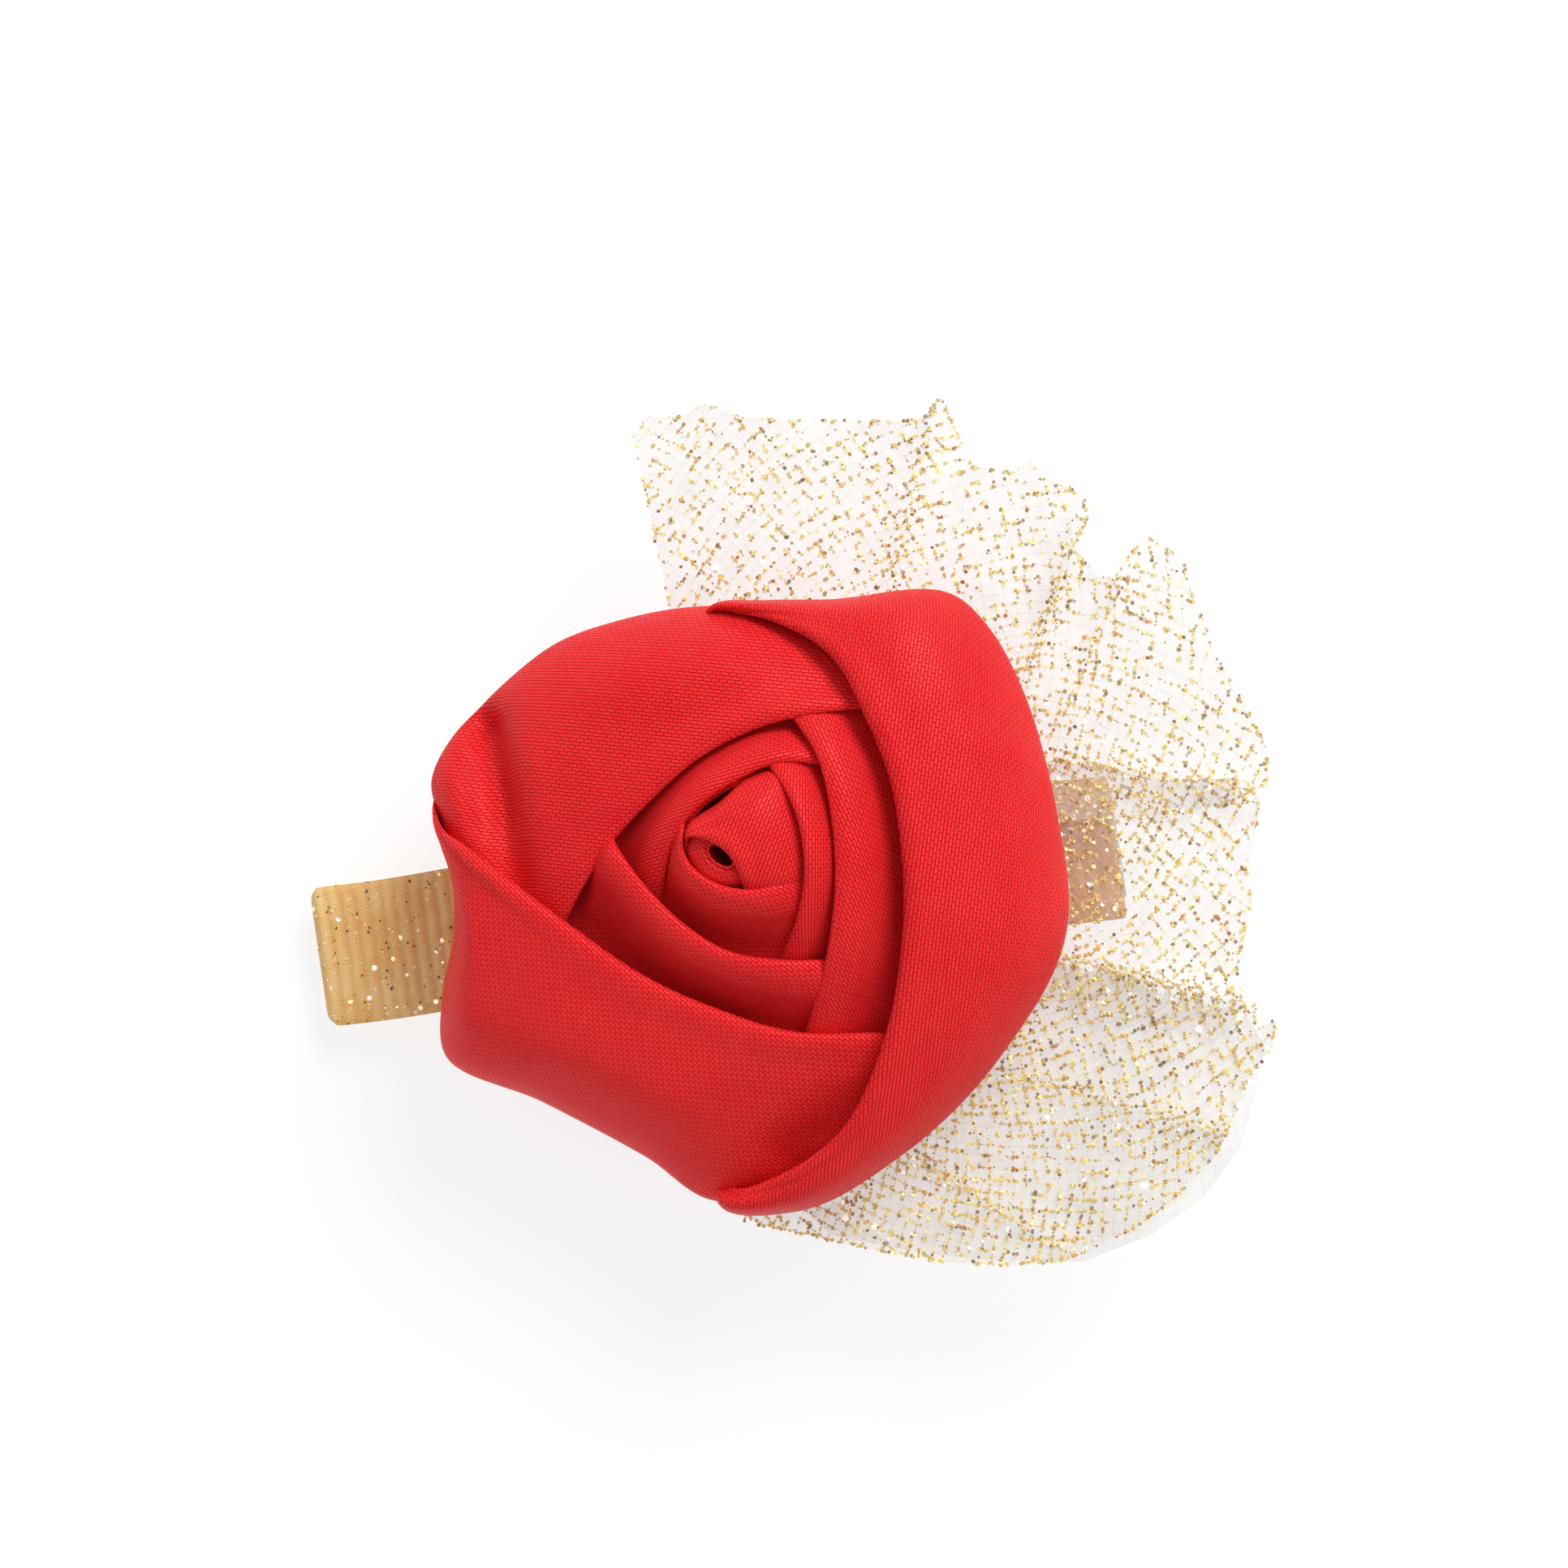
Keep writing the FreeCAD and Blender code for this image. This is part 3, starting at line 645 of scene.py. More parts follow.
def finish_tree(wires, geometry, given, out):
    """Every tree ends the same way: real geometry, in its own material."""
    real = wires.add("GeometryNodeRealizeInstances", Geometry=geometry)
    painted = wires.add("GeometryNodeSetMaterial", Geometry=real.outputs[0], Material=given["Material"])
    wires.put(out, "Geometry", painted.outputs[0])
    return wires.tree


def flake_group():
    """Small six-sided foil plates on points: each has its own tilt, size and tint."""
    wires, given, out = new_tree(
        "foil_flakes", [("Selection", "Bool", True), ("Flake Radius", "Float", 0.0001),
                        ("Tilt", "Float", 0.6), ("Seed", "Int", 0)])
    plate = wires.add("GeometryNodeMeshCylinder", Vertices=6, Radius=1.0, Depth=0.45)
    tilt = wires.add("FunctionNodeRandomValue", {"data_type": "FLOAT_VECTOR"}, Seed=given["Seed"])
    spread = wires.add("ShaderNodeCombineXYZ", X=given["Tilt"], Y=given["Tilt"], Z=3.0)
    back = wires.add("ShaderNodeVectorMath", {"operation": "SCALE"}, Vector=spread.outputs[0], Scale=-1.0)
    wires.put(tilt, "Min", back.outputs[0])
    wires.put(tilt, "Max", spread.outputs[0])
    small = wires.math("MULTIPLY", given["Flake Radius"], 0.6)
    large = wires.math("MULTIPLY", given["Flake Radius"], 1.5)
    size = wires.add("FunctionNodeRandomValue", {"data_type": "FLOAT"}, Min=small, Max=large)
    wires.put(size, "Seed", wires.math("ADD", given["Seed"], 1.0))
    plates = wires.add("GeometryNodeInstanceOnPoints", Points=given["Geometry"],
                       Selection=given["Selection"], Instance=plate.outputs[0],
                       Rotation=tilt.outputs[0], Scale=size.outputs[1])
    tint = wires.add("FunctionNodeRandomValue", {"data_type": "FLOAT"})
    wires.put(tint, "Seed", wires.math("ADD", given["Seed"], 2.0))
    stored = wires.add("GeometryNodeStoreNamedAttribute", {"data_type": "FLOAT", "domain": "INSTANCE"},
                       Geometry=plates.outputs[0], Name="tint", Value=tint.outputs[1])
    wires.put(out, "Geometry", stored.outputs[0])
    return wires.tree


def thread_tree():
    """A round thread along every edge of the net."""
    wires, given, out = new_tree(
        "net_threads", [("Thread Radius", "Float", 0.00003), ("Material", "Material", None)])
    lines = wires.add("GeometryNodeMeshToCurve", Mesh=given["Geometry"])
    ring = wires.add("GeometryNodeCurvePrimitiveCircle", Resolution=3, Radius=given["Thread Radius"])
    tube = wires.add("GeometryNodeCurveToMesh", Curve=lines.outputs[0])
    wires.put(tube, "Profile Curve", ring.outputs[0])
    wires.put(tube, "Fill Caps", True)
    return finish_tree(wires, tube.outputs[0], given, out)


def glitter_tree(flakes):
    """Foil along the net's threads, in short broken chains."""
    wires, given, out = new_tree(
        "net_glitter", [("Spacing", "Float", 0.0002), ("Cutoff", "Float", 0.55),
                        ("Flake Radius", "Float", 0.0001), ("Jitter", "Float", 0.0001),
                        ("Seed", "Int", 0), ("Material", "Material", None)])
    lines = wires.add("GeometryNodeMeshToCurve", Mesh=given["Geometry"])
    beads = wires.add("GeometryNodeResampleCurve", {"mode": "LENGTH"}, Curve=lines.outputs[0],
                      Length=given["Spacing"])
    here = wires.add("GeometryNodeInputPosition").outputs[0]
    patch = wires.add("ShaderNodeTexNoise", Vector=here, Scale=1500.0, Detail=1.0)
    pleat = wires.add("GeometryNodeInputNamedAttribute", {"data_type": "FLOAT"}, Name="pleat")
    bare = wires.math("MULTIPLY_ADD", pleat.outputs[0], -0.13, given["Cutoff"])
    chosen = wires.add("FunctionNodeCompare", {"data_type": "FLOAT", "operation": "GREATER_THAN"})
    wires.put(chosen, "A", patch.outputs[0])
    wires.put(chosen, "B", bare)
    shift = wires.add("FunctionNodeRandomValue", {"data_type": "FLOAT_VECTOR"}, Seed=given["Seed"],
                      Min=(-1.0, -1.0, -0.3), Max=(1.0, 1.0, 1.0))
    scaled = wires.add("ShaderNodeVectorMath", {"operation": "SCALE"}, Vector=shift.outputs[0],
                       Scale=given["Jitter"])
    moved = wires.add("GeometryNodeSetPosition", Geometry=beads.outputs[0], Offset=scaled.outputs[0])
    foil = wires.use(flakes, Geometry=moved.outputs[0], Selection=chosen.outputs[0],
                     Flake_Radius=given["Flake Radius"], Tilt=0.7, Seed=given["Seed"])
    return finish_tree(wires, foil.outputs[0], given, out)


def scatter_tree(flakes):
    """Foil strewn over a surface."""
    wires, given, out = new_tree(
        "strewn_glitter", [("Density", "Float", 1000000.0), ("Flake Radius", "Float", 0.0001),
                           ("Seed", "Int", 0), ("Material", "Material", None)])
    up = wires.add("GeometryNodeInputNormal").outputs[0]
    height = wires.add("ShaderNodeSeparateXYZ", Vector=up).outputs["Z"]
    top = wires.add("FunctionNodeCompare", {"data_type": "FLOAT", "operation": "GREATER_THAN"})
    wires.put(top, "A", height)
    wires.put(top, "B", 0.3)
    spots = wires.add("GeometryNodeDistributePointsOnFaces", Mesh=given["Geometry"],
                      Selection=top.outputs[0], Density=given["Density"], Seed=given["Seed"])
    foil = wires.use(flakes, Geometry=spots.outputs[0], Flake_Radius=given["Flake Radius"], Tilt=0.5,
                     Seed=given["Seed"])
    return finish_tree(wires, foil.outputs[0], given, out)


def rib_tree():
    """Raised ribs across a strip; the strip's own cloth map says where, in millimetres."""
    wires, given, out = new_tree(
        "grosgrain_ribs", [("Pitch", "Float", 1.0), ("Height", "Float", 0.0001),
                           ("Half Width", "Float", 5.0), ("Selvedge", "Float", 0.7),
                           ("Material", "Material", None)])
    cloth = wires.add("GeometryNodeInputNamedAttribute", {"data_type": "FLOAT_VECTOR"}, Name="Cloth")
    place = wires.add("ShaderNodeSeparateXYZ", Vector=cloth.outputs[0])
    turns = wires.math("DIVIDE", place.outputs["X"], given["Pitch"])
    wave = wires.math("COSINE", wires.math("MULTIPLY", turns, 2 * math.pi))
    crest = wires.math("POWER", wires.math("MULTIPLY_ADD", wave, 0.5, 0.5), 0.6)
    edge = wires.math("SUBTRACT", given["Half Width"], wires.math("ABSOLUTE", place.outputs["Y"]))
    inside = wires.math("DIVIDE", wires.math("SUBTRACT", edge, given["Selvedge"]), 0.3, clamp=True)
    normal = wires.add("GeometryNodeInputNormal").outputs[0]
    rise = wires.math("ABSOLUTE", wires.add("ShaderNodeSeparateXYZ", Vector=normal).outputs["Z"])
    flat = wires.math("MULTIPLY_ADD", rise, 5.0, -3.9, clamp=True)
    shaped = wires.math("MULTIPLY", wires.math("MULTIPLY", crest, inside), flat)
    lift = wires.math("MULTIPLY", shaped, given["Height"])
    push = wires.add("ShaderNodeVectorMath", {"operation": "SCALE"}, Vector=normal, Scale=lift)
    moved = wires.add("GeometryNodeSetPosition", Geometry=given["Geometry"], Offset=push.outputs[0])
    return finish_tree(wires, moved.outputs[0], given, out)


def fuzz_tree():
    """Short loose fibres standing off a felt edge."""
    wires, given, out = new_tree(
        "felt_fuzz", [("Density", "Float", 3000000.0), ("Fibre Length", "Float", 0.0006),
                      ("Seed", "Int", 0), ("Material", "Material", None)])
    spots = wires.add("GeometryNodeDistributePointsOnFaces", Mesh=given["Geometry"],
                      Density=given["Density"], Seed=given["Seed"])
    fibre = wires.add("GeometryNodeMeshCone", Vertices=3)
    wires.put(fibre, "Radius Top", 0.000008)
    wires.put(fibre, "Radius Bottom", 0.00002)
    wires.put(fibre, "Depth", given["Fibre Length"])
    turn = wires.add("FunctionNodeRandomValue", {"data_type": "FLOAT_VECTOR"}, Seed=given["Seed"],
                     Min=(-1.4, -1.4, -3.0), Max=(1.4, 1.4, 3.0))
    hairs = wires.add("GeometryNodeInstanceOnPoints", Points=spots.outputs[0],
                      Instance=fibre.outputs[0], Rotation=turn.outputs[0])
    return finish_tree(wires, hairs.outputs[0], given, out)


FLAKES = flake_group()
THREADS = thread_tree()
NET_GLITTER = glitter_tree(FLAKES)
STREWN = scatter_tree(FLAKES)
RIBS = rib_tree()
FUZZ = fuzz_tree()


def grow(name, source, tree, **values):
    """A new plain mesh: the tree's result on a copy of the source."""
    obj = bpy.data.objects.new(name, source.data.copy())
    bpy.context.collection.objects.link(obj)
    modifier = obj.modifiers.new(tree.name, "NODES")
    modifier.node_group = tree
    for item in tree.interface.items_tree:
        key = item.name.replace(" ", "_")
        if item.in_out == "INPUT" and key in values:
            modifier[item.identifier] = values[key]
    return plain_mesh(obj)


# ---- the tulle ------------------------------------------------------------------------------
def inside(points, outline):
    """True for each point that lies inside the outline."""
    x, y = points[..., 0], points[..., 1]
    hit = np.zeros(x.shape, bool)
    for (x0, y0), (x1, y1) in zip(outline, outline[1:] + outline[:1]):
        crosses = (y0 > y) != (y1 > y)
        slope = (x1 - x0) / (y1 - y0) if y1 != y0 else 0.0
        hit ^= crosses & (x < x0 + (y - y0) * slope)
    return hit


def pinch(points, start, end, width, height):
    """Gathers a net towards a line and lifts it there into a pleat; also says how near it is."""
    a, b = np.array(start, float), np.array(end, float)
    line = b - a
    length = np.linalg.norm(line)
    line = line / length
    side = np.array((-line[1], line[0]))
    flat = points[..., :2] - a
    along, off = flat @ line, flat @ side
    ends = np.clip((along + 2) / 3, 0, 1) * np.clip((length + 3 - along) / 3, 0, 1)
    near = np.exp(-(off / width) ** 2) * ends
    points = points.copy()
    points[..., :2] -= side * (off * near * 0.7)[..., None]
    points[..., 2] += 1.25 * height * near * np.clip(along / length, 0.15, 1.0)
    return points, near


TULLE = {
    "top": {
        "outline": [(6, 10), (0.6, 20), (0.4, 24.3), (0.1, 29.5), (-0.1, 33.1), (1.0, 34.2), (3.2, 33.9),
                    (5.2, 34.5), (7.9, 33.0), (15.8, 31.7), (20.2, 31.0), (21.7, 32.3), (22.4, 29.6),
                    (23.1, 27.4), (25.8, 26.5), (27.1, 27.2), (27.8, 25.9), (30.4, 24.4), (30.5, 22.6),
                    (29.2, 20.6), (30.6, 18.6), (31.7, 18.2), (33.0, 19.6), (34.3, 20.7), (36.4, 19.1),
                    (36.8, 16.3), (37.8, 11.9), (39.5, 7.7), (40.4, 5.1), (40.0, 3.0), (37.0, 1.8),
                    (31.0, 1.8), (20, 3), (12, 3)],
        "pleats": [((16.5, 21.0), (21.4, 32.0), 1.1, 1.5), ((24.0, 11.5), (29.3, 20.8), 1.2, 1.7),
                   ((26.8, 9.5), (32.4, 18.0), 1.0, 1.3), ((26.0, 6.5), (39.5, 2.6), 1.0, 0.9)],
        "base": 3.2, "angles": (-5, 100), "bare": 0.515, "seed": 3, "cut": (44, 40, 1150),
    },
    "side": {
        "outline": [(10, 4), (26, 6.5), (33, 4), (38.6, 3.3), (39.3, 1.5), (38.5, -1.1), (37.7, -2.7),
                    (37.8, -5.0), (37.0, -7.0), (36.1, -9.5), (36.4, -12.4), (30.0, -12.5), (22, -9.5),
                    (10, -6)],
        "pleats": [((25.0, -7.0), (37.0, -12.2), 1.1, 1.0), ((27.0, 4.5), (38.8, 1.6), 0.9, 0.7)],
        "base": 2.75, "angles": (-30, 25), "bare": 0.49, "seed": 5, "cut": (32, 18, 480),
    },
    "bottom": {
        "outline": [(6, -10), (14, -4), (23.2, -6.6), (30.4, -9.8), (37.0, -12.0), (38.3, -13.4),
                    (37.7, -15.2), (35.8, -16.9), (34.6, -19.3), (33.0, -21.8), (29.6, -24.6),
                    (26.5, -26.3), (21.3, -27.9), (17.4, -27.7), (12.9, -26.9), (7.4, -25.2),
                    (3.0, -23.6), (-0.5, -22.4), (1.0, -19)],
        "pleats": [((19.0, -14.5), (34.0, -20.5), 1.2, 0.7), ((12.0, -19.5), (22.0, -27.5), 1.1, 0.6),
                   ((23.0, -7.6), (37.6, -12.8), 0.9, 0.8)],
        "base": 2.25, "angles": (-110, -20), "bare": 0.465, "seed": 8, "cut": (44, 28, 760),
    },
    "under": {
        "outline": [(6, -10), (14, -4), (23.2, -7.0), (30.4, -10.4), (36.2, -12.6), (37.2, -15.0),
                    (36.0, -18.4), (34.6, -21.6), (31.6, -24.8), (27.6, -27.0), (22.6, -28.2), (16.4, -27.3),
                    (10.9, -26.0), (5.4, -24.2), (1.0, -19)],
        "pleats": [((17.0, -12.0), (33.0, -22.5), 1.5, 0.4)],
        "base": 1.75, "angles": (-110, -20), "seed": 11, "cut": (44, 28, 740),
    },
}
GATHER_RADIUS = 27.0      # where the fan's threads are a cell apart
CELL_ACROSS = 1.12
CELL_ALONG = 1.08


def snap_edge(points, faces, outline):
    """Draws the loose border points of a net onto the line that it was cut along."""
    uses = {}
    for face in faces:
        for a, b in zip(face, face[1:] + face[:1]):
            uses[frozenset((a, b))] = uses.get(frozenset((a, b)), 0) + 1
    border = sorted({k for pair, count in uses.items() if count == 1 for k in pair})
    starts = np.array(outline, float)
    ways = np.roll(starts, -1, axis=0) - starts
    for k in border:
        share = np.clip(((points[k, :2] - starts) * ways).sum(axis=1) / (ways ** 2).sum(axis=1), 0, 1)
        spots = starts + ways * share[:, None]
        away = np.linalg.norm(spots - points[k, :2], axis=1)
        nearest = away.argmin()
        if away[nearest] < CELL_ACROSS:
            points[k, :2] = spots[nearest]
    for corner in starts:
        away = np.linalg.norm(points[border, :2] - corner, axis=1)
        if away.min() < CELL_ACROSS * 0.7:
            points[border[away.argmin()], :2] = corner


def net_mesh(name, layer):
    """The diamond net of one tulle layer, fanned out from the middle of the rosette."""
    low, high = (math.radians(a) for a in layer["angles"])
    across = CELL_ACROSS / GATHER_RADIUS / 2
    columns = int((high - low) / across)
    rows = int(44 / CELL_ALONG * 2)
    i, j = np.meshgrid(np.arange(rows), np.arange(columns), indexing="ij")
    diamond = (i + j) % 2 == 0
    radius = i * CELL_ALONG / 2
    angle = low + j * across
    x = 4 + radius * np.cos(angle)
    y = radius * np.sin(angle)
    seed = layer["seed"]
    warp_x = x + 0.9 * ripple(x, y, seed, 3.0) + 0.16 * ripple(x, y, seed + 30, 0.5)
    warp_y = y + 0.9 * ripple(x, y, seed + 1, 3.0) + 0.16 * ripple(x, y, seed + 31, 0.5)
    rise = np.clip((radius - 20) / 16, 0, 1.2)
    z = layer["base"] + rise * (0.5 + 0.9 * ripple(x, y, seed + 2, 2.4))
    points = np.stack([warp_x, warp_y, z], -1)
    pleat = np.zeros(i.shape)
    for start, end, width, height in layer["pleats"]:
        points, near = pinch(points, start, end, width, height)
        pleat = np.maximum(pleat, near)
    keep = inside(points, layer["outline"])
    number = -np.ones(i.shape, int)
    used, gathered, faces = [], [], []
    for r in range(1, rows - 1):
        for c in range(1, columns - 1):
            if diamond[r, c] or not keep[r, c]:
                continue
            corners = [(r - 1, c), (r, c - 1), (r + 1, c), (r, c + 1)]
            for corner in corners:
                if number[corner] < 0:
                    number[corner] = len(used)
                    used.append(points[corner])
                    gathered.append(pleat[corner])
            faces.append(tuple(int(number[corner]) for corner in corners))
    used = np.array(used)
    snap_edge(used, faces, layer["outline"])
    a, b, c = (used[faces[len(faces) // 2][k]] for k in (0, 1, 2))
    if np.cross(b - a, c - a)[2] < 0:
        faces = [tuple(reversed(f)) for f in faces]
    net = add_mesh(name, used, faces, used[:, :2])
    net.data.attributes.new("pleat", "FLOAT", "POINT").data.foreach_set("value", gathered)
    return net


def make_tulle():
    """Three glittered layers and a plain one under the lower fan, each with its threads."""
    for place, layer in TULLE.items():
        veil = net_mesh("tulle_" + place + "_net", layer)
        # The net's own sheet: the net's haze, tinted with painted shade.
        veil.data.materials.append(NET_HAZE_AND_SHADE_VEIL)
        extras = [grow("tulle_" + place + "_threads", veil, THREADS, Thread_Radius=0.000022,
                       Material=NET_THREAD)]
        if place != "under":
            extras.append(grow("tulle_" + place + "_glitter", veil, NET_GLITTER, Spacing=0.00021,
                               Cutoff=layer["bare"], Flake_Radius=0.00011, Jitter=0.00009,
                               Seed=layer["seed"], Material=GLITTER))
            extras.append(grow("tulle_" + place + "_sparks", veil, STREWN, Density=0.05e6,
                               Flake_Radius=0.00020, Seed=layer["seed"] + 50, Material=SPARK))
            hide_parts("tulle_" + place)
        for piece in [veil] + extras:
            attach(piece, "clip_top")


# ---- ribbon, felt, glue, spring and steel ---------------------------------------------------
RIBBON_SKIN = 0.36        # the ribbon's face, between its ribs, above the steel
TIP_TUCK = 30.0
HANDLE_TUCK = 10.0


def ribbon_path():
    """Points and outward directions along the ribbon's face, from the tucked tip end round."""
    end = CLIP_HALF + 0.03
    radius = (2 * RIBBON_SKIN + STEEL) / 2
    middle = -STEEL / 2
    turn_x = end + RIBBON_SKIN - radius
    points, outs = [], []

    def run(x0, x1, z, out, count):
        for k in range(count):
            points.append((x0 + (x1 - x0) * k / count, z))
            outs.append((0, out))

    def arc(x, start, count):
        for k in range(count):
            angle = start - math.pi * k / count
            points.append((x + radius * math.cos(angle), middle + radius * math.sin(angle)))
            outs.append((math.cos(angle), math.sin(angle)))

    run(-CLIP_HALF + TIP_TUCK, -turn_x, middle - radius, -1, 240)
    arc(-turn_x, -math.pi / 2, 24)
    run(-turn_x, turn_x, middle + radius, 1, 450)
    arc(turn_x, math.pi / 2, 24)
    run(turn_x, CLIP_HALF - HANDLE_TUCK, middle - radius, -1, 80)
    return np.array(points), np.array(outs, float)


def make_ribbon():
    """The grosgrain strip round the top arm, its ribs, and the glitter on its face."""
    path, outs = ribbon_path()
    steps = np.linalg.norm(np.diff(path, axis=0), axis=1)
    along = np.concatenate([[0], np.cumsum(steps)])
    across = np.array([-5, -4.93, -4.75, -4.5, -4.3, -4.1, -3.8, -3, -2, -1, 0, 1, 2, 3, 3.8, 4.1, 4.3,
                       4.5, 4.75, 4.93, 5.0])
    sag = np.where(np.abs(across) > 4.9, -0.12, 0.0) + np.where(np.abs(across) > 4.7, -0.02, 0.0)
    points, uv = [], []
    for (x, z), (ox, oz), u in zip(path, outs, along):
        for v, drop in zip(across, sag):
            corner = (np.clip((-x - 27.9) / 1.0, 0, 1) * np.clip((abs(v) - 4.0) / 1.0, 0, 1)) ** 1.6
            slack = 0.10 * math.sin(x * 0.35 + 0.6)
            tuck = -math.copysign(0.18 if v > 0 else 0.3, v)
            points.append((x + ox * drop + corner * 0.3, v + slack + corner * tuck, z + oz * drop))
            uv.append((u, v))
    faces = [tuple(reversed(f)) for f in grid_faces(len(path), len(across))]
    flat = add_mesh("ribbon_strip", points, faces, uv)
    flat.data.materials.append(RIBBON)
    ribbon = grow("grosgrain_ribbon", flat, RIBS, Pitch=RIB_PITCH, Height=0.00012, Half_Width=RIBBON_HALF,
                  Selvedge=0.75, Material=RIBBON)
    glitter = grow("ribbon_glitter", ribbon, STREWN, Density=2.2e6, Flake_Radius=0.00008, Seed=4,
                   Material=RIBBON_GLITTER)
    sparks = grow("ribbon_sparks", ribbon, STREWN, Density=0.16e6, Flake_Radius=0.00016, Seed=12,
                  Material=SPARK)
    bpy.data.objects.remove(flat)
    thick = ribbon.modifiers.new("cloth", "SOLIDIFY")
    thick.thickness = RIBBON_SKIN * 0.92 * MM
    thick.offset = -1
    for piece in (ribbon, glitter, sparks):
        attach(piece, "clip_top")
    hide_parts("arm_ribbon")


def disc_points(radius, rings, sides, seed, waver):
    """A flat round patch with a slightly uneven rim, as x and y about its middle."""
    spots = []
    for r in range(1, rings + 1):
        for s in range(sides):
            angle = 2 * math.pi * s / sides
            edge = radius * (1 + waver * ripple(np.cos(angle) * 6, np.sin(angle) * 6, seed, 1.4))
            spots.append((edge * r / rings * math.cos(angle), edge * r / rings * math.sin(angle)))
    return np.array(spots)


def round_patch(name, centre, radius, rings, sides, height, seed, waver):
    """A closed disc; height(share, x, y) gives its top and bottom at a share of the radius."""
    spots = disc_points(radius, rings, sides, seed, waver)
    share = np.repeat(np.arange(1, rings + 1) / rings, sides)
    low, high = height(share, spots[:, 0], spots[:, 1])
    low0, high0 = height(np.zeros(1), np.zeros(1), np.zeros(1))
    top = np.column_stack([spots + centre, high])
    bottom = np.column_stack([spots + centre, low])
    points = np.vstack([[(*centre, high0[0])], top, [(*centre, low0[0])], bottom])
    faces = [(0, 1 + s, 1 + (s + 1) % sides) for s in range(sides)]
    faces += [tuple(reversed(f)) for f in grid_faces(rings, sides, closed=True, start=1)]
    under = 1 + rings * sides
    faces += [(under, under + 1 + (s + 1) % sides, under + 1 + s) for s in range(sides)]
    faces += grid_faces(rings, sides, closed=True, start=under + 1)
    rim_top = 1 + (rings - 1) * sides
    rim_low = under + 1 + (rings - 1) * sides
    for s in range(sides):
        t = (s + 1) % sides
        faces.append((rim_top + s, rim_low + s, rim_low + t, rim_top + t))
    obj = add_mesh(name, points, faces, points[:, :2])
    return obj


def make_backing():
    """The felt disc, and the two runs of set glue."""
    middle = np.array((4.0, 0.0))

    def felt_height(share, x, y):
        pill = 0.05 * ripple(x, y, 41, 0.7)
        edge = np.where(share > 0.97, 0.14, 0.0)
        return 1.02 + edge + pill, 1.96 - edge + pill

    felt = round_patch("felt_backing", middle, 14.0, 14, 120, felt_height, 40, 0.008)
    felt.data.materials.append(FELT)
    fuzz = grow("felt_fibres", felt, FUZZ, Density=1.6e6, Fibre_Length=0.0005, Seed=6, Material=FELT)
    for piece in (felt, fuzz):
        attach(piece, "clip_top")
    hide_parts("felt_disc")

    def puddle_height(share, x, y):
        dome = np.sqrt(np.clip(1 - share ** 6, 0, 1))
        wave = 0.06 * ripple(x, y, 52, 1.5)
        return 3.84 - (0.22 + wave) * dome, 3.84 + (0.22 + wave) * dome

    puddle = round_patch("hot_glue_puddle", middle, 12.0, 16, 72, puddle_height, 50, 0.035)

    def strip_height(share, x, y):
        dome = np.sqrt(np.clip(1 - share ** 6, 0, 1))
        wave = 0.05 * ripple(x, y, 62, 1.2)
        return 0.71 - 0.24 * dome, 0.72 + (0.25 + wave) * dome

    strip = round_patch("hot_glue_strip", middle, 11.0, 16, 72, strip_height, 60, 0.05)
    squeeze = np.array(CLIP.to_3x3()) * np.array((1, 0.36, 1))
    turn_back = CLIP.to_3x3().inverted()
    pivot = CLIP @ Vector((4.0, 0.0, 0.0))
    for vertex in strip.data.vertices:
        vertex.co = Vector(squeeze @ np.array(turn_back @ (vertex.co - pivot))) + pivot
    for piece, node in ((puddle, "rosette_glue"), (strip, "arm_glue")):
        piece.data.materials.append(GLUE)
        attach(piece, "clip_top")
        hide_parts(node)


WIRE = 0.6
COIL_RADIUS = 1.2
COIL_TURNS = 3.5
LEG_LENGTH = 6.2
LEG_BEND = 0.8
LEVER_ROOT_X = 14.0
LEVER_ANGLE = 25.0


def spring_path():
    """The spring's centre line: lever leg, coil round the pin, arm leg."""
    pitch = WIRE * 1.12
    half = pitch * COIL_TURNS / 2
    lead = pitch / (2 * math.pi * COIL_RADIUS)
    drop = math.tan(math.radians(LEVER_ANGLE))
    bottom = np.array((PIN[0], -half, PIN[1] - COIL_RADIUS))
    top = np.array((PIN[0], half, PIN[1] + COIL_RADIUS))
    bend = bottom + np.array((1, -lead, 0)) * (LEVER_ROOT_X - PIN[0])
    foot = bend + np.array((1, -lead, -drop)) * (LEG_LENGTH / 2)
    before = bend + (bottom - bend) / np.linalg.norm(bottom - bend) * LEG_BEND
    after = bend + (foot - bend) / np.linalg.norm(foot - bend) * LEG_BEND
    line = [foot + (after - foot) * k / 6 for k in range(6)]
    for k in range(9):
        t = k / 8
        line.append((1 - t) ** 2 * after + 2 * t * (1 - t) * bend + t * t * before)
    line += [before + (bottom - before) * k / 5 for k in range(1, 5)]
    steps = 150
    for k in range(steps + 1):
        turn = COIL_TURNS * 2 * math.pi * k / steps
        line.append(np.array((PIN[0] - COIL_RADIUS * math.sin(turn),
                              -half + 2 * half * k / steps,
                              PIN[1] - COIL_RADIUS * math.cos(turn))))
    line += [top + np.array((1, lead, 0)) * LEG_LENGTH * k / 12 for k in range(1, 13)]
    return np.array(line)


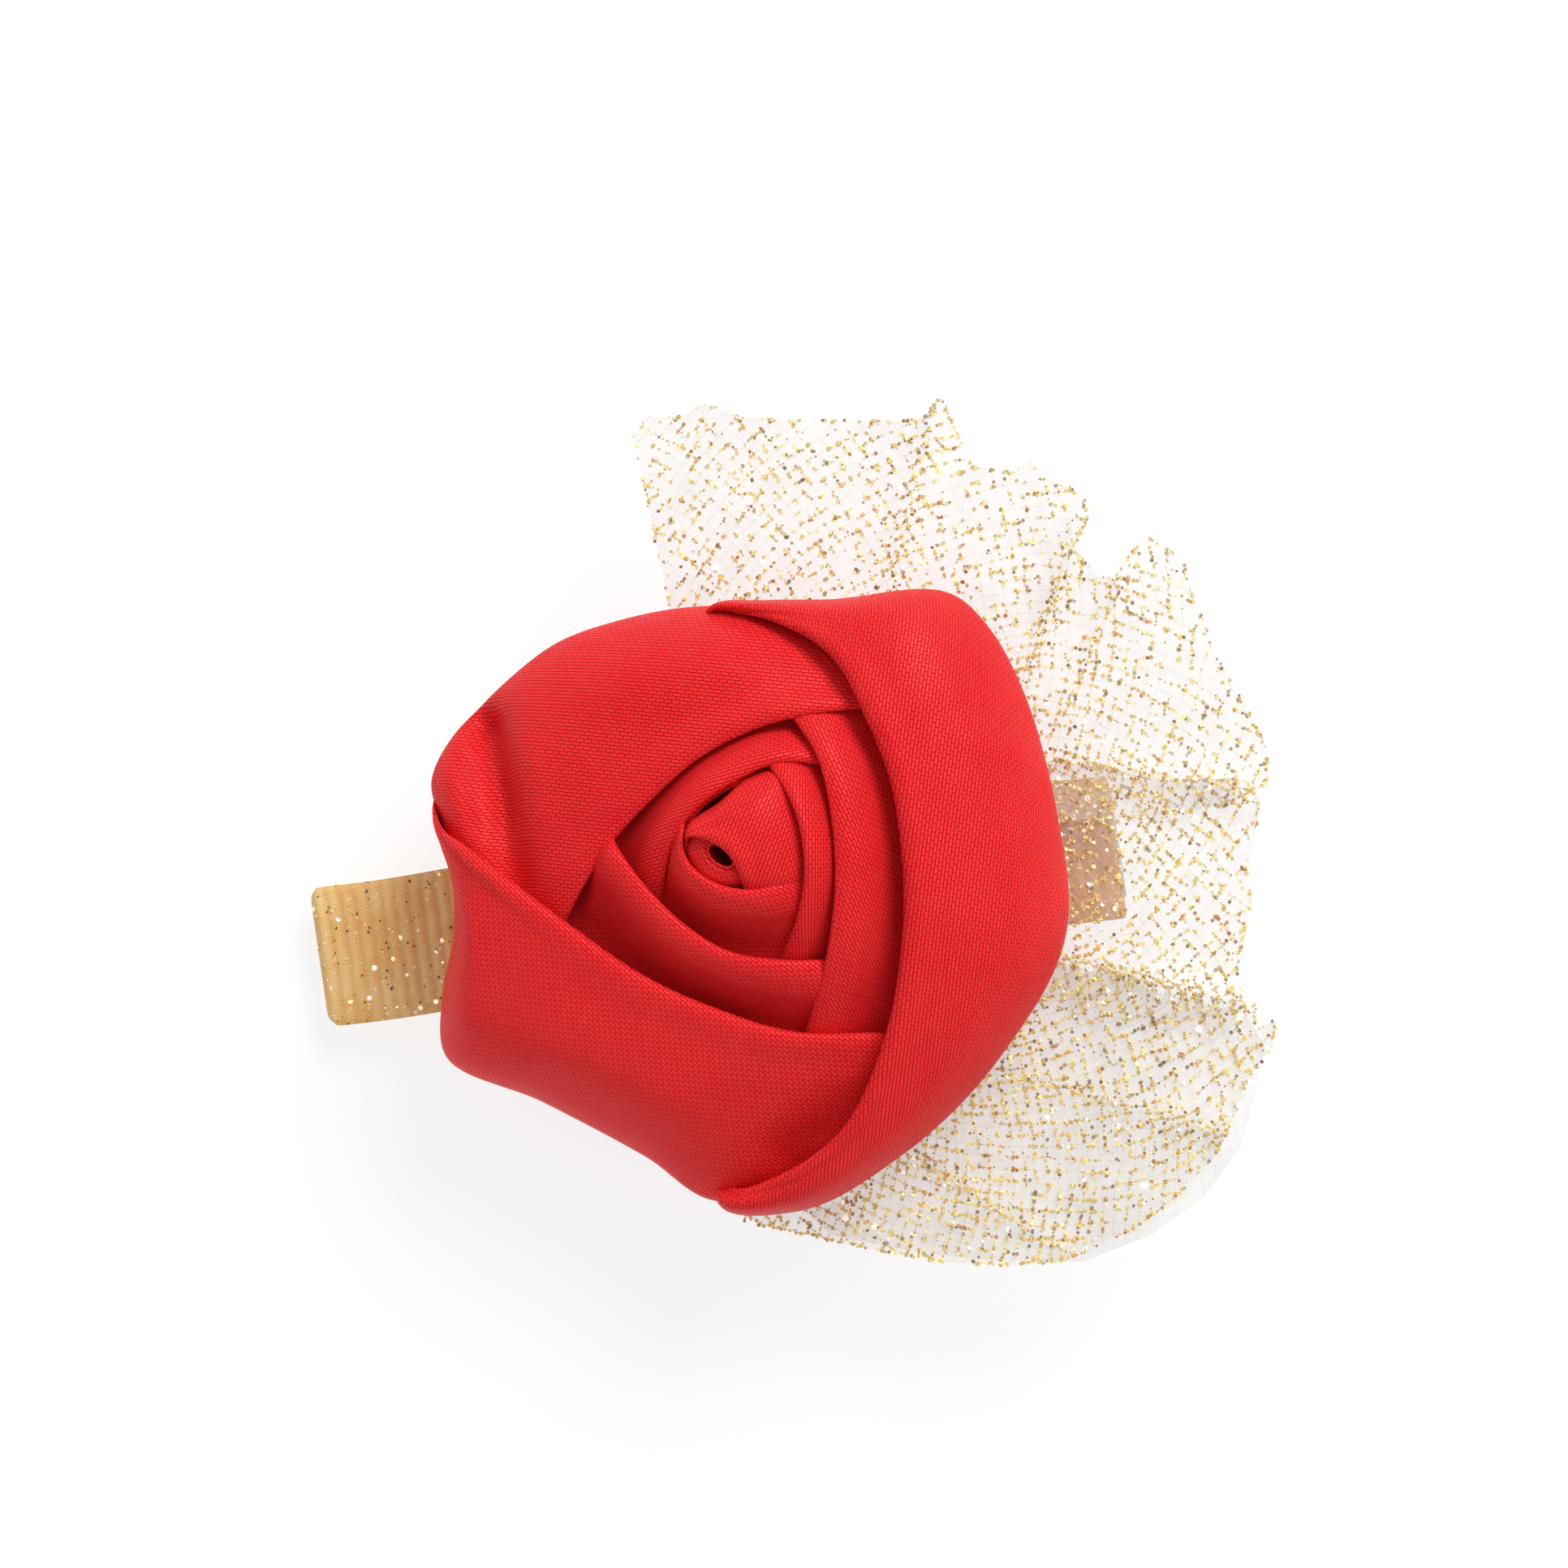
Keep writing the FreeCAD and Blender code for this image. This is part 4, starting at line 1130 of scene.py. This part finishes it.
def make_spring():
    """A round wire along the spring's line, its cut ends slightly chamfered."""
    line = spring_path()
    tangent = np.gradient(line, axis=0)
    tangent /= np.linalg.norm(tangent, axis=1, keepdims=True)
    side = np.array((0.0, 1.0, 0.0))
    sides = 14
    size = np.full(len(line), WIRE / 2)
    line = np.vstack([line[0], line, line[-1]])
    tangent = np.vstack([tangent[0], tangent, tangent[-1]])
    size = np.concatenate([[WIRE * 0.38], size, [WIRE * 0.38]])
    line[0] -= tangent[0] * 0.06
    line[-1] += tangent[-1] * 0.06
    points = []
    for spot, way, radius in zip(line, tangent, size):
        side = side - way * (side @ way)
        side = side / np.linalg.norm(side)
        third = np.cross(way, side)
        for s in range(sides):
            angle = 2 * math.pi * s / sides
            points.append(spot + (side * math.cos(angle) + third * math.sin(angle)) * radius)
    faces = grid_faces(len(line), sides, closed=True)
    faces.append(tuple(reversed(range(sides))))
    faces.append(tuple(range(len(points) - sides, len(points))))
    faces = [tuple(reversed(f)) for f in faces]
    spring = add_mesh("spring_wire", points, faces)
    spring.data.materials.append(WIRE_STEEL)
    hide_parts("torsion_spring")
    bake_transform(spring)


def paint_steel():
    """The stamped arms and the pin keep their own shape and get their plating."""
    for name in ("upper_arm", "lower_arm", "hinge_pin"):
        node = frame["nodes"][name]
        if not node.material_slots:
            node.data.materials.append(CLIP_STEEL)
        for place in node.material_slots:
            place.material = CLIP_STEEL


make_rosette()
make_tulle()
make_ribbon()
make_backing()
make_spring()
paint_steel()


# ---- camera, light and floor --------------------------------------------------------------
def make_stage():
    """Pale floor, one big soft light from the upper right, a fill, and the camera overhead."""
    bpy.ops.mesh.primitive_plane_add(size=3.0)
    floor = bpy.context.object
    floor.name = "floor"
    floor.location.z = -0.0002
    material, shade, bsdf = new_material("white_board")
    place = shade.add("ShaderNodeTexCoord").outputs["Object"]
    mottle = shade.use(MOTTLE, Vector=place, Size=3.0, Dark=(0.23, 0.23, 0.23, 1),
                       Light=(0.25, 0.25, 0.25, 1), Rough=0.8, Spread=0.05)
    shade.put(bsdf, "Base Color", mottle.outputs["Color"])
    shade.put(bsdf, "Emission Color", (1, 1, 1, 1))
    shade.put(bsdf, "Emission Strength", 0.77)
    floor.data.materials.append(material)

    def area_light(name, place, size, power):
        light = bpy.data.lights.new(name, "AREA")
        light.shape = "DISK"
        light.size = size
        light.energy = power
        lamp = bpy.data.objects.new(name, light)
        lamp.location = place
        lamp.rotation_euler = (-Vector(place)).to_track_quat("-Z", "Y").to_euler()
        bpy.context.collection.objects.link(lamp)

    area_light("key", (0.33, 0.42, 0.50), 0.38, 4.1)
    world = bpy.data.worlds.new("studio")
    world.use_nodes = True
    world.node_tree.nodes["Background"].inputs[0].default_value = (1, 1, 1, 1)
    world.node_tree.nodes["Background"].inputs[1].default_value = 0.55
    bpy.context.scene.world = world

    camera = bpy.data.cameras.new("camera")
    camera.lens = 105
    camera.sensor_width = 36
    eye = bpy.data.objects.new("camera", camera)
    eye.location = (0.0007, 0.0042, 0.330)
    eye.rotation_euler = (0, 0, math.radians(-8.2))
    bpy.context.collection.objects.link(eye)
    bpy.context.scene.camera = eye
    bpy.context.scene.view_settings.view_transform = "Standard"


make_stage()
